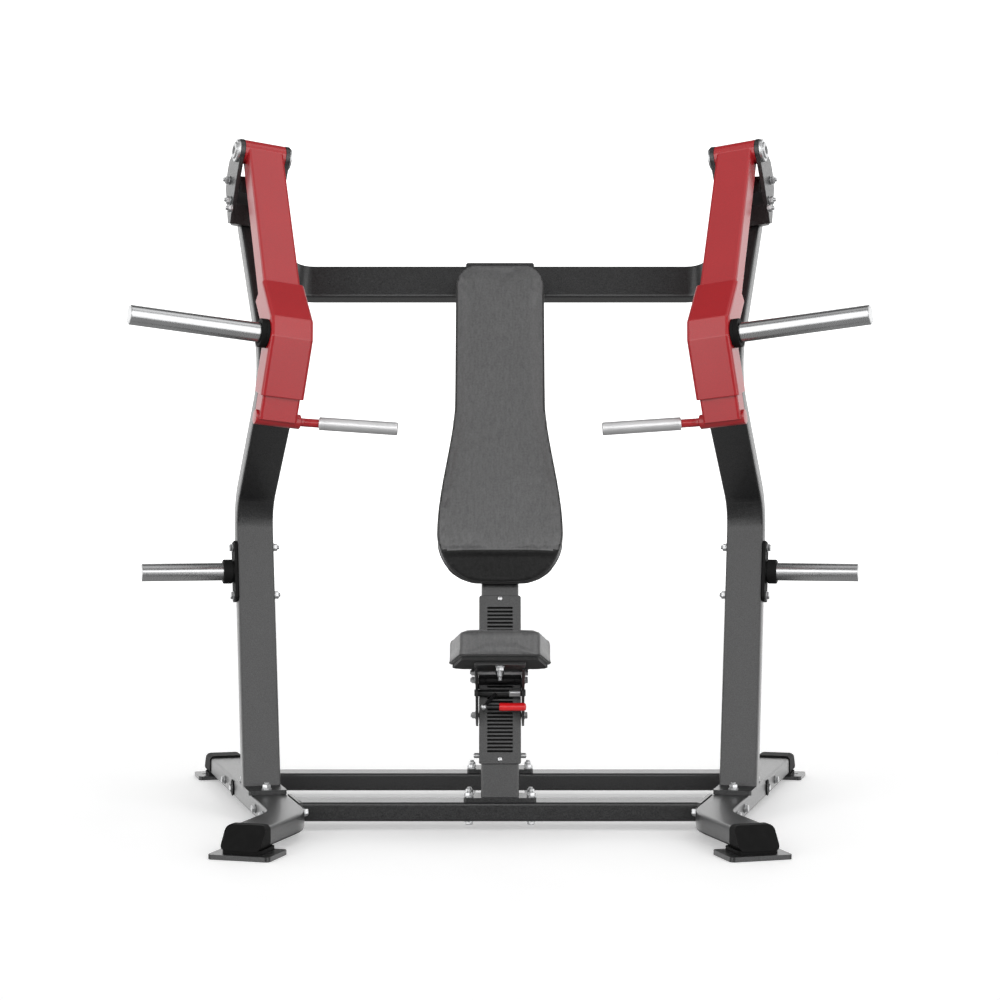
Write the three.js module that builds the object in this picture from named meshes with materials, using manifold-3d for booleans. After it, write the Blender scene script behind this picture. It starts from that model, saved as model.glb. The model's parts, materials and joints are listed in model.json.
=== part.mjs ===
// Plate-loaded chest press machine. Millimetres, +Z up, the user faces -Y.
// The left half (-X) is modelled and the right half is the same pieces in a mirrored group.
import * as THREE from 'three';
import { mergeVertices } from 'three/addons/utils/BufferGeometryUtils.js';
import Module from 'manifold-3d';

const wasm = await Module();
wasm.setup();

// ---------------------------------------------------------------- driving dimensions
const GAP = 0.3;                    // clearance between two pieces that touch
const WALL = 4;                     // wall of the frame tubes
const DEPTH_SHIFT = 15;             // moves the whole machine along Y to centre its box

// base rails
const TUBE_WIDE = 100;
const TUBE_DEEP = 50;
const TUBE_CORNER = 8;
const RAIL_BOTTOM = 23;
const RAIL_TOP = RAIL_BOTTOM + TUBE_DEEP;
const RAIL_MIDDLE = RAIL_BOTTOM + TUBE_DEEP / 2;
const RAIL_YAW = 16.2;              // both legs of a rail turn this far from the Y axis
const RAIL_BEND = [-543, -455];
const RAIL_BEND_RADIUS = 200;
const FRONT_LEG = 257;              // bend corner to the tube's front end
const REAR_LEG = 1153;              // bend corner to the tube's rear end

// rubber feet on the rail ends, and floor plates
const CAP_SIDE = 3;
const CAP_TOP = 6;
const CAP_NOSE = 45;
const CAP_SLANT = 40;
const FRONT_SLEEVE = 20;
const REAR_SLEEVE = 80;
const PLATE = { across: 162, along: 120, thick: 12, corner: 12, hole: 7, holeAcross: 58 };
const PAD = { across: 104, along: 98 };

// lower crossbars
const FRONT_BAR_Y = -276;
const REAR_BAR_Y = 270;
const FLANGE_THICK = 10;
const BAR_FLANGE_LONG = 176;

// uprights: their front face as [distance back along the rear leg, height]
const UPRIGHT_WIDE = 104;
const UPRIGHT_FOOT = [-649.7, -106];
const UPRIGHT_FACE = [[0, 60], [139, 839], [-323, 1201], [92, 1662], [98, 1768]];
const UPRIGHT_RADII = [120, 120, 90];
const UPRIGHT_FLANGE = { front: 90, back: 130, thick: 12 };

// arm pivot
const PIVOT = new THREE.Vector3(-654, -68, 1819);
const PIVOT_AXIS = new THREE.Vector3(-0.913, -0.389, 0.1).normalize();
const BARREL_RADIUS = 33;
const BARREL_HALF = 57;
const SHAFT_RADIUS = 20;
const YOKE_THICK = 12;
const YOKE_INSIDE = BARREL_HALF + 1;

// press arm, in the plane that the arm swings in
const ARM_WIDE = 100;
const ARM_DEEP = 60;
const ARM_WALL = 4;
const ARM_LEAN = 35.8;              // long upper part, from straight down
const ARM_FACET = 16.5;             // short run between the two mitres of the elbow
const ARM_TUCK = -12;               // lower part
const ARM_UPPER = 510.6;
const KNEE_LEAN = 48;               // part inside the upper half of the elbow sleeve
const KNEE = 148;
const ARM_MITRE = 33;
const ARM_LOWER = 207;
const ELBOW_WALL = [7, 9.5];        // sleeve thickness on the sides, and front and back
const ELBOW_DOWN = 146;
const CARRIER_RADIUS = 19;
const CARRIER_IN = 64;
const CARRIER_OUT = 56;
const ROD_RADIUS = 11;
const GRIP = { radius: 17, length: 203, start: 40, droop: 0.068 };

// plate pegs
const PEG_RADIUS = 25;
const WEIGHT_PEG = { length: 332, collarRadius: 37, collar: 20 };
const STORE_PEG = { height: 668, length: 224, collarRadius: 34, collar: 30, plate: [60, 168, 8] };

// upper crossbar and backrest
const RECLINE = 18;
const UPPER_BAR = { y: 78, z: 1478, high: 96, bendX: 584, radius: 75, forward: 170, outward: 48 };
const BACK_PAD = {
  topZ: 1511, long: 908, topWide: 246, bottomWide: 338, thick: 62, board: 15, bevelLong: 78, endThick: 20,
};

// centre post and seat rack
const POST_WIDE = 100;
const POST_LEAN = 9.5;
const POST_FACE = [-313, 73];       // Y and Z of the front face at the front crossbar
const POST_BEND_Z = 650;
const POST_FLANGE = { wide: 191, deep: 96, thick: 12 };
const BRACE = { footY: 270, topY: -70, topZ: 900, wide: 96 };
const RACK = { wide: 111, thick: 9, low: 171, high: 611, slotWide: 67, slotHigh: 5, pitch: 10, slots: 39 };
const STOP_PIN = { z: 190, radius: 5, half: 70 };

// seat
const SEAT = { frontY: -625, topZ: 544, tilt: 9, long: 337, wide: 263, frontWide: 178, thick: 62, board: 9 };
const SEAT_FLARE = [12, 250];        // the sides spread between these distances from the front edge
const SIDE_PLATE = { inside: 57.8, thick: 6 };
const ROLLER_RADIUS = 12.5;
const LATCH = { z: 353, radius: 9, ahead: 34 };  // ahead of the rack's front face

// ---------------------------------------------------------------- looks of the metal and rubber
const paint = (color, roughness, metalness) => (
  new THREE.MeshStandardMaterial({ color, roughness, metalness }));
const LOOKS = {
  frame: () => paint(0x2b2c2e, 0.45, 0.3),
  red: () => paint(0xa01c22, 0.35, 0.1),
  chrome: () => paint(0xd8dadc, 0.15, 1),
  grip: () => paint(0xc6c8ca, 0.4, 0.9),
  rubber: () => paint(0x121212, 0.7, 0),
  vinyl: () => paint(0x4a4a4b, 0.65, 0),
  board: () => paint(0x1b1b1c, 0.8, 0),
  zinc: () => paint(0xb9bcc0, 0.35, 0.9),
  leverRed: () => paint(0xc8141a, 0.5, 0),
};

// ---------------------------------------------------------------- geometry helpers
const degrees = THREE.MathUtils.degToRad;
const point = (x, y, z) => new THREE.Vector3(x, y, z);
const UP = point(0, 0, 1);

// A closed three.js geometry as a manifold solid, and back.
function solidOf(geometry) {
  const bare = geometry.clone();
  for (const name of Object.keys(bare.attributes)) if (name !== 'position') bare.deleteAttribute(name);
  const merged = mergeVertices(bare, 1e-3);
  const index = merged.index.array;
  const kept = [];
  for (let i = 0; i < index.length; i += 3) {
    const [a, b, c] = [index[i], index[i + 1], index[i + 2]];
    if (a !== b && b !== c && c !== a) kept.push(a, b, c);
  }
  const mesh = new wasm.Mesh({
    numProp: 3,
    vertProperties: new Float32Array(merged.attributes.position.array),
    triVerts: new Uint32Array(kept),
  });
  return new wasm.Manifold(mesh);
}

function geometryOf(solid) {
  const mesh = solid.getMesh();
  const geometry = new THREE.BufferGeometry();
  geometry.setAttribute('position', new THREE.BufferAttribute(new Float32Array(mesh.vertProperties), 3));
  geometry.setIndex(new THREE.BufferAttribute(new Uint32Array(mesh.triVerts), 1));
  return geometry;
}

const join = (first, ...others) => others.reduce((whole, each) => whole.add(each), first);
const cut = (first, ...others) => others.reduce((whole, each) => whole.subtract(each), first);

// A geometry moved so that its own x, y and z axes lie along the three given directions.
function placed(geometry, origin, x, y, z) {
  return geometry.applyMatrix4(new THREE.Matrix4().makeBasis(x, y, z).setPosition(origin));
}

// Directions of a piece whose own z axis is turned to the given direction.
function axesAlong(direction) {
  const z = direction.clone().normalize();
  const side = Math.abs(z.z) < 0.9 ? UP : point(1, 0, 0);
  const x = side.clone().cross(z).normalize();
  return [x, z.clone().cross(x), z];
}

function roundedRectangle(width, height, corner) {
  const [w, h, quarter] = [width / 2, height / 2, Math.PI / 2];
  const shape = new THREE.Shape();
  shape.moveTo(w - corner, -h);
  shape.absarc(w - corner, -h + corner, corner, -quarter, 0, false);
  shape.absarc(w - corner, h - corner, corner, 0, quarter, false);
  shape.absarc(-w + corner, h - corner, corner, quarter, 2 * quarter, false);
  shape.absarc(-w + corner, -h + corner, corner, 2 * quarter, 3 * quarter, false);
  return shape;
}

function polygon(points) {
  return new THREE.Shape(points.map(([x, y]) => new THREE.Vector2(x, y)));
}

// A block centred on its own x and y, from 0 to its length along z.
function block(width, height, length) {
  return new THREE.BoxGeometry(width, height, length).translate(0, 0, length / 2);
}

function slab(shape, thickness, curveSegments = 4) {
  return new THREE.ExtrudeGeometry(shape, { depth: thickness, bevelEnabled: false, curveSegments });
}

// A round piece: profile points are [radius, distance along the axis].
function turned(profile, origin, direction, segments = 24) {
  const lathe = new THREE.LatheGeometry(profile.map(([r, t]) => new THREE.Vector2(r, t)), segments);
  lathe.rotateX(Math.PI / 2);       // the lathe's own axis is Y, and becomes Z
  return placed(lathe, origin, ...axesAlong(direction));
}

function rod(radius, from, to, origin, direction, segments = 24) {
  return turned([[0, from], [radius, from], [radius, to], [0, to]], origin, direction, segments);
}

// A route of straight runs in one plane. A corner with a radius is rounded; one without is mitred.
class PlanarRoute extends THREE.Curve {
  constructor(corners, radii, across, arcStep = 12) {
    super();
    this.across = across;
    this.stations = [];
    const last = corners.length - 1;
    const add = (at, tangent, stretch) => this.stations.push({ at, tangent, stretch });
    const leg = (i) => corners[i + 1].clone().sub(corners[i]).normalize();
    add(corners[0], leg(0), 1);
    for (let i = 1; i < last; i += 1) {
      const [before, after, radius] = [leg(i - 1), leg(i), radii[i - 1]];
      const turn = before.angleTo(after);
      if (!radius) {
        add(corners[i], before.clone().add(after).normalize(), 1 / Math.cos(turn / 2));
        continue;
      }
      const setback = radius * Math.tan(turn / 2);
      const start = corners[i].clone().addScaledVector(before, -setback);
      const inward = after.clone().sub(before.clone().multiplyScalar(before.dot(after))).normalize();
      const steps = Math.max(2, Math.ceil(THREE.MathUtils.radToDeg(turn) / arcStep));
      for (let k = 0; k <= steps; k += 1) {
        const angle = (turn * k) / steps;
        const at = start.clone()
          .addScaledVector(before, radius * Math.sin(angle))
          .addScaledVector(inward, radius * (1 - Math.cos(angle)));
        const tangent = before.clone().multiplyScalar(Math.cos(angle))
          .addScaledVector(inward, Math.sin(angle));
        add(at, tangent, 1);
      }
    }
    add(corners[last], leg(last - 1), 1);
  }

  getSpacedPoints() {
    return this.stations.map((station) => station.at.clone());
  }

  computeFrenetFrames() {
    const tangents = this.stations.map((station) => station.tangent.clone());
    const binormals = this.stations.map(() => this.across.clone());
    const normals = this.stations.map(({ tangent, stretch }) => (
      this.across.clone().cross(tangent).normalize().multiplyScalar(stretch)));
    return { tangents, normals, binormals };
  }
}

// A section swept along a planar route: the section's x is in the route's plane, its y across it.
function swept(section, route, curveSegments = 1) {
  const steps = route.stations.length - 1;
  return new THREE.ExtrudeGeometry(section, { steps, extrudePath: route, curveSegments });
}

function tubeSection(inPlane, across, wall, corner) {
  const section = roundedRectangle(inPlane, across, corner);
  section.holes.push(roundedRectangle(inPlane - 2 * wall, across - 2 * wall, Math.max(corner - wall, 1.5)));
  return section;
}

// A polyline moved sideways: to the right of its direction when the distance is positive.
function offsetLine(points, distance) {
  return points.map(([x, y], i) => {
    const normals = [];
    for (const [a, b] of [[i - 1, i], [i, i + 1]]) {
      if (a < 0 || b >= points.length) continue;
      const run = new THREE.Vector2(points[b][0] - points[a][0], points[b][1] - points[a][1]).normalize();
      normals.push(new THREE.Vector2(run.y, -run.x));
    }
    const sum = normals.reduce((total, each) => total.add(each), new THREE.Vector2());
    const scale = distance / sum.dot(normals[0]);
    return [x + sum.x * scale, y + sum.y * scale];
  });
}

// ---------------------------------------------------------------- the group and its pieces
const machine = new THREE.Group();
machine.position.y = DEPTH_SHIFT;

function addPiece(group, name, shape, look) {
  const geometry = shape.isBufferGeometry ? shape : geometryOf(shape);
  const mesh = new THREE.Mesh(geometry, LOOKS[look]());
  mesh.name = name;
  group.add(mesh);
}

// ---------------------------------------------------------------- base rails and feet (left side)
const yawSin = Math.sin(degrees(RAIL_YAW));
const yawCos = Math.cos(degrees(RAIL_YAW));
const backward = point(-yawSin, yawCos, 0);          // along the rear leg, away from the bend
const forward = point(-yawSin, -yawCos, 0);          // along the front leg, away from the bend
const rearAcross = point(yawCos, yawSin, 0);         // across the rear leg, toward the centre
const frontAcross = point(yawCos, -yawSin, 0);
const bendPoint = point(...RAIL_BEND, RAIL_MIDDLE);
const railFront = bendPoint.clone().addScaledVector(forward, FRONT_LEG);
const railRear = bendPoint.clone().addScaledVector(backward, REAR_LEG);

function baseRail() {
  const route = new PlanarRoute([railRear, bendPoint, railFront], [RAIL_BEND_RADIUS], UP, 8);
  return swept(tubeSection(TUBE_WIDE, TUBE_DEEP, WALL, TUBE_CORNER), route);
}

// Own axes of a foot: x across the leg, y up, z outward along the leg.
function footAxes(direction) {
  const z = direction.clone();
  return [UP.clone().cross(z).normalize(), UP.clone(), z];
}

function rubberFoot(end, direction, sleeve) {
  const axes = footAxes(direction);
  const base = end.clone().setZ(0);
  const start = base.clone().addScaledVector(direction, -sleeve);
  const bottom = RAIL_BOTTOM - 2;
  const top = RAIL_TOP + CAP_TOP;
  const section = roundedRectangle(TUBE_WIDE + 2 * CAP_SIDE, top - bottom, TUBE_CORNER + 6);
  const middle = (top + bottom) / 2;
  const outer = slab(section, sleeve + CAP_NOSE, 2).translate(0, middle, 0);
  const body = solidOf(placed(outer, start, ...axes));
  const socket = roundedRectangle(TUBE_WIDE + 2 * GAP, TUBE_DEEP + 2 * GAP, TUBE_CORNER);
  const pocket = slab(socket, sleeve + GAP + 1, 1).translate(0, RAIL_MIDDLE, -1);
  // the nose slopes from the top edge down to the floor side
  const slope = polygon([[CAP_NOSE - CAP_SLANT, top + 20], [CAP_NOSE + 20, top + 20],
    [CAP_NOSE + 20, bottom], [CAP_NOSE, bottom + 4], [CAP_NOSE - CAP_SLANT, top]]);
  const wedge = slab(slope, 2 * TUBE_WIDE).translate(0, 0, -TUBE_WIDE);
  const wedgeSolid = solidOf(placed(wedge, base, direction, UP, axes[0].clone().negate()));
  const padShape = roundedRectangle(PAD.across, PAD.along, 14);
  const pad = slab(padShape, bottom - PLATE.thick - GAP + 1, 2);
  const padBase = base.clone().addScaledVector(direction, CAP_NOSE - 4 - PAD.along / 2);
  padBase.z = PLATE.thick + GAP;
  const padSolid = solidOf(placed(pad, padBase, axes[0], direction.clone().negate(), UP));
  const hollow = solidOf(placed(pocket, start, ...axes));
  return cut(join(body, padSolid), wedgeSolid, hollow);
}

function floorPlate(end, direction, shift) {
  const shape = roundedRectangle(PLATE.across, PLATE.along, PLATE.corner);
  for (const side of [-1, 1]) {
    const hole = new THREE.Path();
    hole.absarc(side * PLATE.holeAcross, 0, PLATE.hole, 0, 2 * Math.PI, true);
    shape.holes.push(hole);
  }
  const centre = end.clone().addScaledVector(direction, shift).setZ(0);
  const across = UP.clone().cross(direction).normalize();
  return placed(slab(shape, PLATE.thick), centre, across, direction.clone().negate(), UP);
}

// ---------------------------------------------------------------- lower crossbars
// A tube across the machine, with an end flange lying against the inner side of each rail.
function lowerCrossbar(y) {
  const half = 900;
  const section = tubeSection(TUBE_WIDE, TUBE_DEEP, WALL, TUBE_CORNER);
  const route = new PlanarRoute([point(-half, y, RAIL_MIDDLE), point(half, y, RAIL_MIDDLE)], [], UP);
  let bar = solidOf(swept(section, route));
  const flanges = [];
  for (const side of [-1, 1]) {
    const across = point(-side * rearAcross.x, rearAcross.y, 0);
    const along = point(side * yawSin, yawCos, 0);
    const railPoint = point(side * -RAIL_BEND[0], RAIL_BEND[1], 0);
    railPoint.addScaledVector(along, (y - RAIL_BEND[1] + TUBE_WIDE / 2 * yawSin) / yawCos);
    const face = railPoint.clone().addScaledVector(across, TUBE_WIDE / 2 + GAP);
    const beyond = block(1200, 4 * TUBE_DEEP, 900).translate(0, 0, -900 + FLANGE_THICK / 2);
    bar = bar.subtract(solidOf(placed(beyond, face.clone().setZ(RAIL_MIDDLE),
      along.clone(), across.clone().cross(along), across)));
    const plate = slab(roundedRectangle(BAR_FLANGE_LONG, TUBE_DEEP, 5), FLANGE_THICK, 2);
    flanges.push(solidOf(placed(plate, face.clone().setZ(RAIL_MIDDLE),
      along.clone(), across.clone().cross(along), across)));
  }
  const drains = [-1, 1].map((side) => solidOf(rod(4, 0, RAIL_MIDDLE, point(side * 300, y, 0), UP, 12)));
  return cut(join(bar, ...flanges), ...drains);
}

// ---------------------------------------------------------------- uprights (left side)
const uprightFoot = point(...UPRIGHT_FOOT, 0);
const uprightPoint = ([q, z]) => uprightFoot.clone().addScaledVector(backward, q).setZ(z);
const uprightLine = offsetLine(UPRIGHT_FACE, TUBE_DEEP / 2);

function uprightRoute() {
  return new PlanarRoute(uprightLine.map(uprightPoint), UPRIGHT_RADII, rearAcross, 16);
}

// The solid outline of the upright, grown by a clearance, for cutting its neighbours.
function uprightEnvelope(clearance = GAP) {
  const section = roundedRectangle(TUBE_DEEP + 2 * clearance, UPRIGHT_WIDE + 2 * clearance, TUBE_CORNER);
  return solidOf(swept(section, uprightRoute()));
}

function upright() {
  const tube = solidOf(swept(tubeSection(TUBE_DEEP, UPRIGHT_WIDE, WALL, TUBE_CORNER), uprightRoute()));
  const floor = RAIL_TOP + GAP;
  const below = solidOf(placed(block(600, 600, 200), uprightFoot.clone().setZ(floor - 200),
    rearAcross, backward, UP));
  const { front, back, thick } = UPRIGHT_FLANGE;
  const shape = roundedRectangle(UPRIGHT_WIDE, front + back, 8);
  const centre = uprightFoot.clone().addScaledVector(backward, (back - front) / 2).setZ(floor);
  const flange = solidOf(placed(slab(shape, thick), centre, rearAcross, backward, UP));
  return join(cut(tube, below), flange);
}

// ---------------------------------------------------------------- the arm's swing plane (left side)
const swingForward = point(-PIVOT_AXIS.y, PIVOT_AXIS.x, 0).normalize();
const swingUp = PIVOT_AXIS.clone().cross(swingForward).normalize();
const swingPoint = ([f, u], t = 0) => PIVOT.clone().addScaledVector(swingForward, f)
  .addScaledVector(swingUp, u).addScaledVector(PIVOT_AXIS, t);
const armDirection = (lean) => [Math.sin(degrees(lean)), -Math.cos(degrees(lean))];
const advance = ([f, u], lean, distance) => {
  const [df, du] = armDirection(lean);
  return [f + df * distance, u + du * distance];
};

const KNEE_CORNER = advance([0, 0], ARM_LEAN, ARM_UPPER);
const ELBOW_TOP_CORNER = advance(KNEE_CORNER, KNEE_LEAN, KNEE);
const ELBOW_LOW_CORNER = advance(ELBOW_TOP_CORNER, ARM_FACET, ARM_MITRE);
const CARRIER_CENTRE = advance(ELBOW_LOW_CORNER, ARM_TUCK, ARM_LOWER);

// A plate outline in the swing plane, extruded along the pivot axis from t to t + thickness.
function swingSlab(shape, t, thickness) {
  return placed(slab(shape, thickness), swingPoint([0, 0], t), swingForward, swingUp, PIVOT_AXIS);
}

function yokeOutline() {
  const shape = new THREE.Shape();
  const end = BARREL_RADIUS + 1;
  shape.moveTo(8, -80);
  shape.lineTo(Math.cos(-0.75) * end, Math.sin(-0.75) * end);
  shape.absarc(0, 0, end, -0.75, Math.PI * 0.62, false);
  shape.lineTo(-88, -14);
  shape.quadraticCurveTo(-106, -46, -98, -92);
  shape.lineTo(-50, -176);
  shape.lineTo(-38, -196);
  shape.lineTo(-12, -200);
  shape.lineTo(-6, -150);
  return shape;
}

function yokePlate(t) {
  const bore = solidOf(rod(SHAFT_RADIUS + 0.6, -2 * YOKE_INSIDE, 2 * YOKE_INSIDE, PIVOT, PIVOT_AXIS));
  return largest(cut(solidOf(swingSlab(yokeOutline(), t, YOKE_THICK)), bore, uprightEnvelope()));
}

// A collar that fills the space between the yoke plates and the leaning upright.
function yokeSaddle() {
  const outline = polygon([[-104, -100], [-62, -100], [-12, -142], [-16, -198], [-50, -198], [-70, -176]]);
  const body = solidOf(swingSlab(outline, -YOKE_INSIDE + GAP, 2 * (YOKE_INSIDE - GAP)));
  return largest(cut(body, uprightEnvelope()));
}

function pivotShaft() {
  const outer = YOKE_INSIDE + YOKE_THICK + GAP;
  const head = 31;
  const profile = [[0, -outer - 6], [head - 3, -outer - 6], [head, -outer - 3], [head, -outer],
    [SHAFT_RADIUS, -outer], [SHAFT_RADIUS, outer], [head, outer], [head, outer + 8], [head - 5, outer + 13],
    [9, outer + 13], [8, outer + 5], [0, outer + 5]];
  return turned(profile, PIVOT, PIVOT_AXIS);
}

function armRoute() {
  const corners = [advance([0, 0], ARM_LEAN, 14), KNEE_CORNER, ELBOW_TOP_CORNER, ELBOW_LOW_CORNER,
    CARRIER_CENTRE];
  return new PlanarRoute(corners.map((corner) => swingPoint(corner)), [0, 0, 0], PIVOT_AXIS);
}

function pressArm() {
  const tube = solidOf(swept(tubeSection(ARM_DEEP, ARM_WIDE, ARM_WALL, 7), armRoute()));
  const barrel = solidOf(rod(BARREL_RADIUS, -BARREL_HALF, BARREL_HALF, PIVOT, PIVOT_AXIS, 28));
  const bore = solidOf(rod(SHAFT_RADIUS + 0.5, -BARREL_HALF - 5, BARREL_HALF + 5, PIVOT, PIVOT_AXIS, 28));
  const carrier = solidOf(rod(CARRIER_RADIUS + GAP, -CARRIER_IN - 40, CARRIER_OUT + 40,
    swingPoint(CARRIER_CENTRE), PIVOT_AXIS, 24));
  const past = solidOf(placed(block(3 * ARM_DEEP, 2 * ARM_WIDE, 60), swingPoint(CARRIER_CENTRE),
    ...routeAxes(ARM_TUCK)));
  return cut(join(cut(tube, past), barrel), bore, carrier);
}

// Axes of a piece lying along the arm at the given lean: x in the plane, y across, z along.
function routeAxes(lean) {
  const [df, du] = armDirection(lean);
  const z = swingForward.clone().multiplyScalar(df).addScaledVector(swingUp, du);
  return [PIVOT_AXIS.clone().cross(z), PIVOT_AXIS.clone(), z];
}

function elbowSleeve() {
  const [side, face] = ELBOW_WALL;
  const section = roundedRectangle(ARM_DEEP + 2 * face, ARM_WIDE + 2 * side, 9);
  section.holes.push(roundedRectangle(ARM_DEEP + 2 * GAP, ARM_WIDE + 2 * GAP, 7));
  const corners = [advance(KNEE_CORNER, KNEE_LEAN, 4), ELBOW_TOP_CORNER, ELBOW_LOW_CORNER,
    advance(ELBOW_LOW_CORNER, ARM_TUCK, ELBOW_DOWN)];
  const route = new PlanarRoute(corners.map((corner) => swingPoint(corner)), [0, 0], PIVOT_AXIS);
  return swept(section, route);
}

const pegRoot = swingPoint(ELBOW_TOP_CORNER).lerp(swingPoint(ELBOW_LOW_CORNER), 0.75);
const elbowSide = ARM_WIDE / 2 + ELBOW_WALL[0] + GAP;

function weightPeg() {
  const { length, collar } = WEIGHT_PEG;
  const from = elbowSide + collar + GAP;
  const to = from + length;
  const profile = [[0, from], [PEG_RADIUS, from], [PEG_RADIUS, to - 2], [PEG_RADIUS - 2, to], [0, to]];
  return turned(profile, pegRoot, PIVOT_AXIS);
}

function weightCollar() {
  const { collar, collarRadius } = WEIGHT_PEG;
  const profile = [[0, elbowSide], [collarRadius - 2, elbowSide], [collarRadius, elbowSide + 2],
    [collarRadius, elbowSide + collar - 3], [collarRadius - 3, elbowSide + collar], [0, elbowSide + collar]];
  return turned(profile, pegRoot, PIVOT_AXIS);
}

// Hand grip line: level from the front, dropping a little toward the centre.
const gripDirection = point(1, 0, -GRIP.droop).normalize();
const carrierPoint = swingPoint(CARRIER_CENTRE);
const rodCorner = carrierPoint.clone().addScaledVector(PIVOT_AXIS, -CARRIER_IN - 12);

function handleBar() {
  const carrier = solidOf(rod(CARRIER_RADIUS, -CARRIER_IN, CARRIER_OUT, carrierPoint, PIVOT_AXIS));
  const start = carrierPoint.clone().addScaledVector(PIVOT_AXIS, -CARRIER_IN + 15);
  const end = rodCorner.clone().addScaledVector(gripDirection, GRIP.start + GRIP.length - 20);
  const across = PIVOT_AXIS.clone().negate().cross(gripDirection).normalize();
  const circle = new THREE.Shape();
  circle.absarc(0, 0, ROD_RADIUS, 0, 2 * Math.PI, false);
  const route = new PlanarRoute([start, rodCorner, end], [25], across, 8);
  return join(carrier, solidOf(swept(circle, route, 10)));
}

function handGrip() {
  const { radius, length, start } = GRIP;
  const bore = ROD_RADIUS + 0.5;
  const profile = [[bore, start], [radius - 1.5, start], [radius, start + 2], [radius, start + length - 5],
    [radius - 4, start + length], [0, start + length], [0, start + length - 15], [bore, start + length - 15],
    [bore, start]];
  return turned(profile, rodCorner, gripDirection);
}

// ---------------------------------------------------------------- arm stop (left side)
// A stand-off on the upright's front face, with a rubber block that the resting arm meets.
const STOP_AT = [263, -486];         // middle of the stop, in the swing plane
const STOP_WIDE = 60;
const STOP_SHIFT = -14;              // along the pivot axis, toward the centre

function stopBracket() {
  const strut = polygon([[-62, -22], [8, -22], [8, 22], [-62, 22]]);
  const plate = polygon([[8, -30], [16, -30], [16, 30], [8, 30]]);
  const shapes = [strut, plate].map((shape) => {
    const piece = slab(shape, STOP_WIDE).translate(0, 0, STOP_SHIFT - STOP_WIDE / 2);
    return solidOf(placed(piece, swingPoint(STOP_AT), stopForward, stopUp, PIVOT_AXIS));
  });
  return largest(cut(join(...shapes), uprightEnvelope()));
}

const stopForward = swingForward.clone().multiplyScalar(Math.cos(degrees(KNEE_LEAN)))
  .addScaledVector(swingUp, Math.sin(degrees(KNEE_LEAN)));
const stopUp = PIVOT_AXIS.clone().cross(stopForward).normalize();

// Distance from the stop's middle to the back face of the resting arm's sleeve, along the stop.
const armGap = swingPoint(ELBOW_TOP_CORNER).sub(swingPoint(STOP_AT)).dot(stopForward)
  - ARM_DEEP / 2 - ELBOW_WALL[1];

function stopPad() {
  const thick = armGap - 16 - 2 * GAP - 0.5;
  const pad = slab(roundedRectangle(56, STOP_WIDE, 10), thick, 3).translate(0, STOP_SHIFT, 16 + GAP);
  return placed(pad, swingPoint(STOP_AT), stopUp, PIVOT_AXIS, stopForward);
}

// ---------------------------------------------------------------- storage pegs (left side)
const outward = rearAcross.clone().negate();
const storeSide = (() => {
  const [q] = pointOnLine(uprightLine, STORE_PEG.height);
  return uprightPoint([q, STORE_PEG.height]).addScaledVector(outward, UPRIGHT_WIDE / 2 + GAP);
})();

// The point of a rising polyline at a given height.
function pointOnLine(line, height) {
  for (let i = 1; i < line.length; i += 1) {
    const [[x0, z0], [x1, z1]] = [line[i - 1], line[i]];
    if (height <= z1) return [x0 + ((x1 - x0) * (height - z0)) / (z1 - z0), height];
  }
  return line[line.length - 1];
}

function storeMount() {
  const [wide, high, thick] = STORE_PEG.plate;
  const { collar, collarRadius } = STORE_PEG;
  const shape = roundedRectangle(wide, high, 6);
  const lean = uprightPoint(uprightLine[1]).sub(uprightPoint(uprightLine[0])).normalize();
  const axes = [lean.clone().cross(outward), lean, outward];
  const plate = solidOf(placed(slab(shape, thick), storeSide, axes[0], axes[1], outward));
  const profile = [[0, thick - 1], [collarRadius, thick - 1], [collarRadius, thick + collar - 4],
    [collarRadius - 4, thick + collar], [0, thick + collar]];
  return join(plate, solidOf(turned(profile, storeSide, outward)));
}

function storePeg() {
  const from = STORE_PEG.plate[2] + STORE_PEG.collar + GAP;
  const to = from + STORE_PEG.length;
  const profile = [[0, from], [PEG_RADIUS, from], [PEG_RADIUS, to - 2], [PEG_RADIUS - 2, to], [0, to]];
  return turned(profile, storeSide, outward);
}

// ---------------------------------------------------------------- upper crossbar
const reclineUp = point(0, Math.sin(degrees(RECLINE)), Math.cos(degrees(RECLINE)));
const reclineFront = point(0, -Math.cos(degrees(RECLINE)), Math.sin(degrees(RECLINE)));
const upperCentre = point(0, UPPER_BAR.y, UPPER_BAR.z);

function upperRoute() {
  const { bendX, radius, forward: ahead, outward: out } = UPPER_BAR;
  const corner = (side) => upperCentre.clone().add(point(side * bendX, 0, 0));
  const tip = (side) => corner(side).addScaledVector(reclineFront, ahead).add(point(side * out, 0, 0));
  return new PlanarRoute([tip(-1), corner(-1), corner(1), tip(1)], [radius, radius], reclineUp, 15);
}

function upperEnvelope() {
  const section = roundedRectangle(TUBE_DEEP + 2 * GAP, UPPER_BAR.high + 2 * GAP, TUBE_CORNER);
  return solidOf(swept(section, upperRoute()));
}

const mirrored = (solid) => solid.mirror([1, 0, 0]);

function upperCrossbar() {
  const tube = solidOf(swept(tubeSection(TUBE_DEEP, UPPER_BAR.high, WALL, TUBE_CORNER), upperRoute()));
  const envelope = uprightEnvelope();
  return largest(cut(tube, envelope, mirrored(envelope)));
}

// The largest of the separate bodies that a cut leaves.
function largest(solid) {
  const bodies = solid.decompose();
  return bodies.reduce((best, each) => (each.volume() > best.volume() ? each : best));
}

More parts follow.
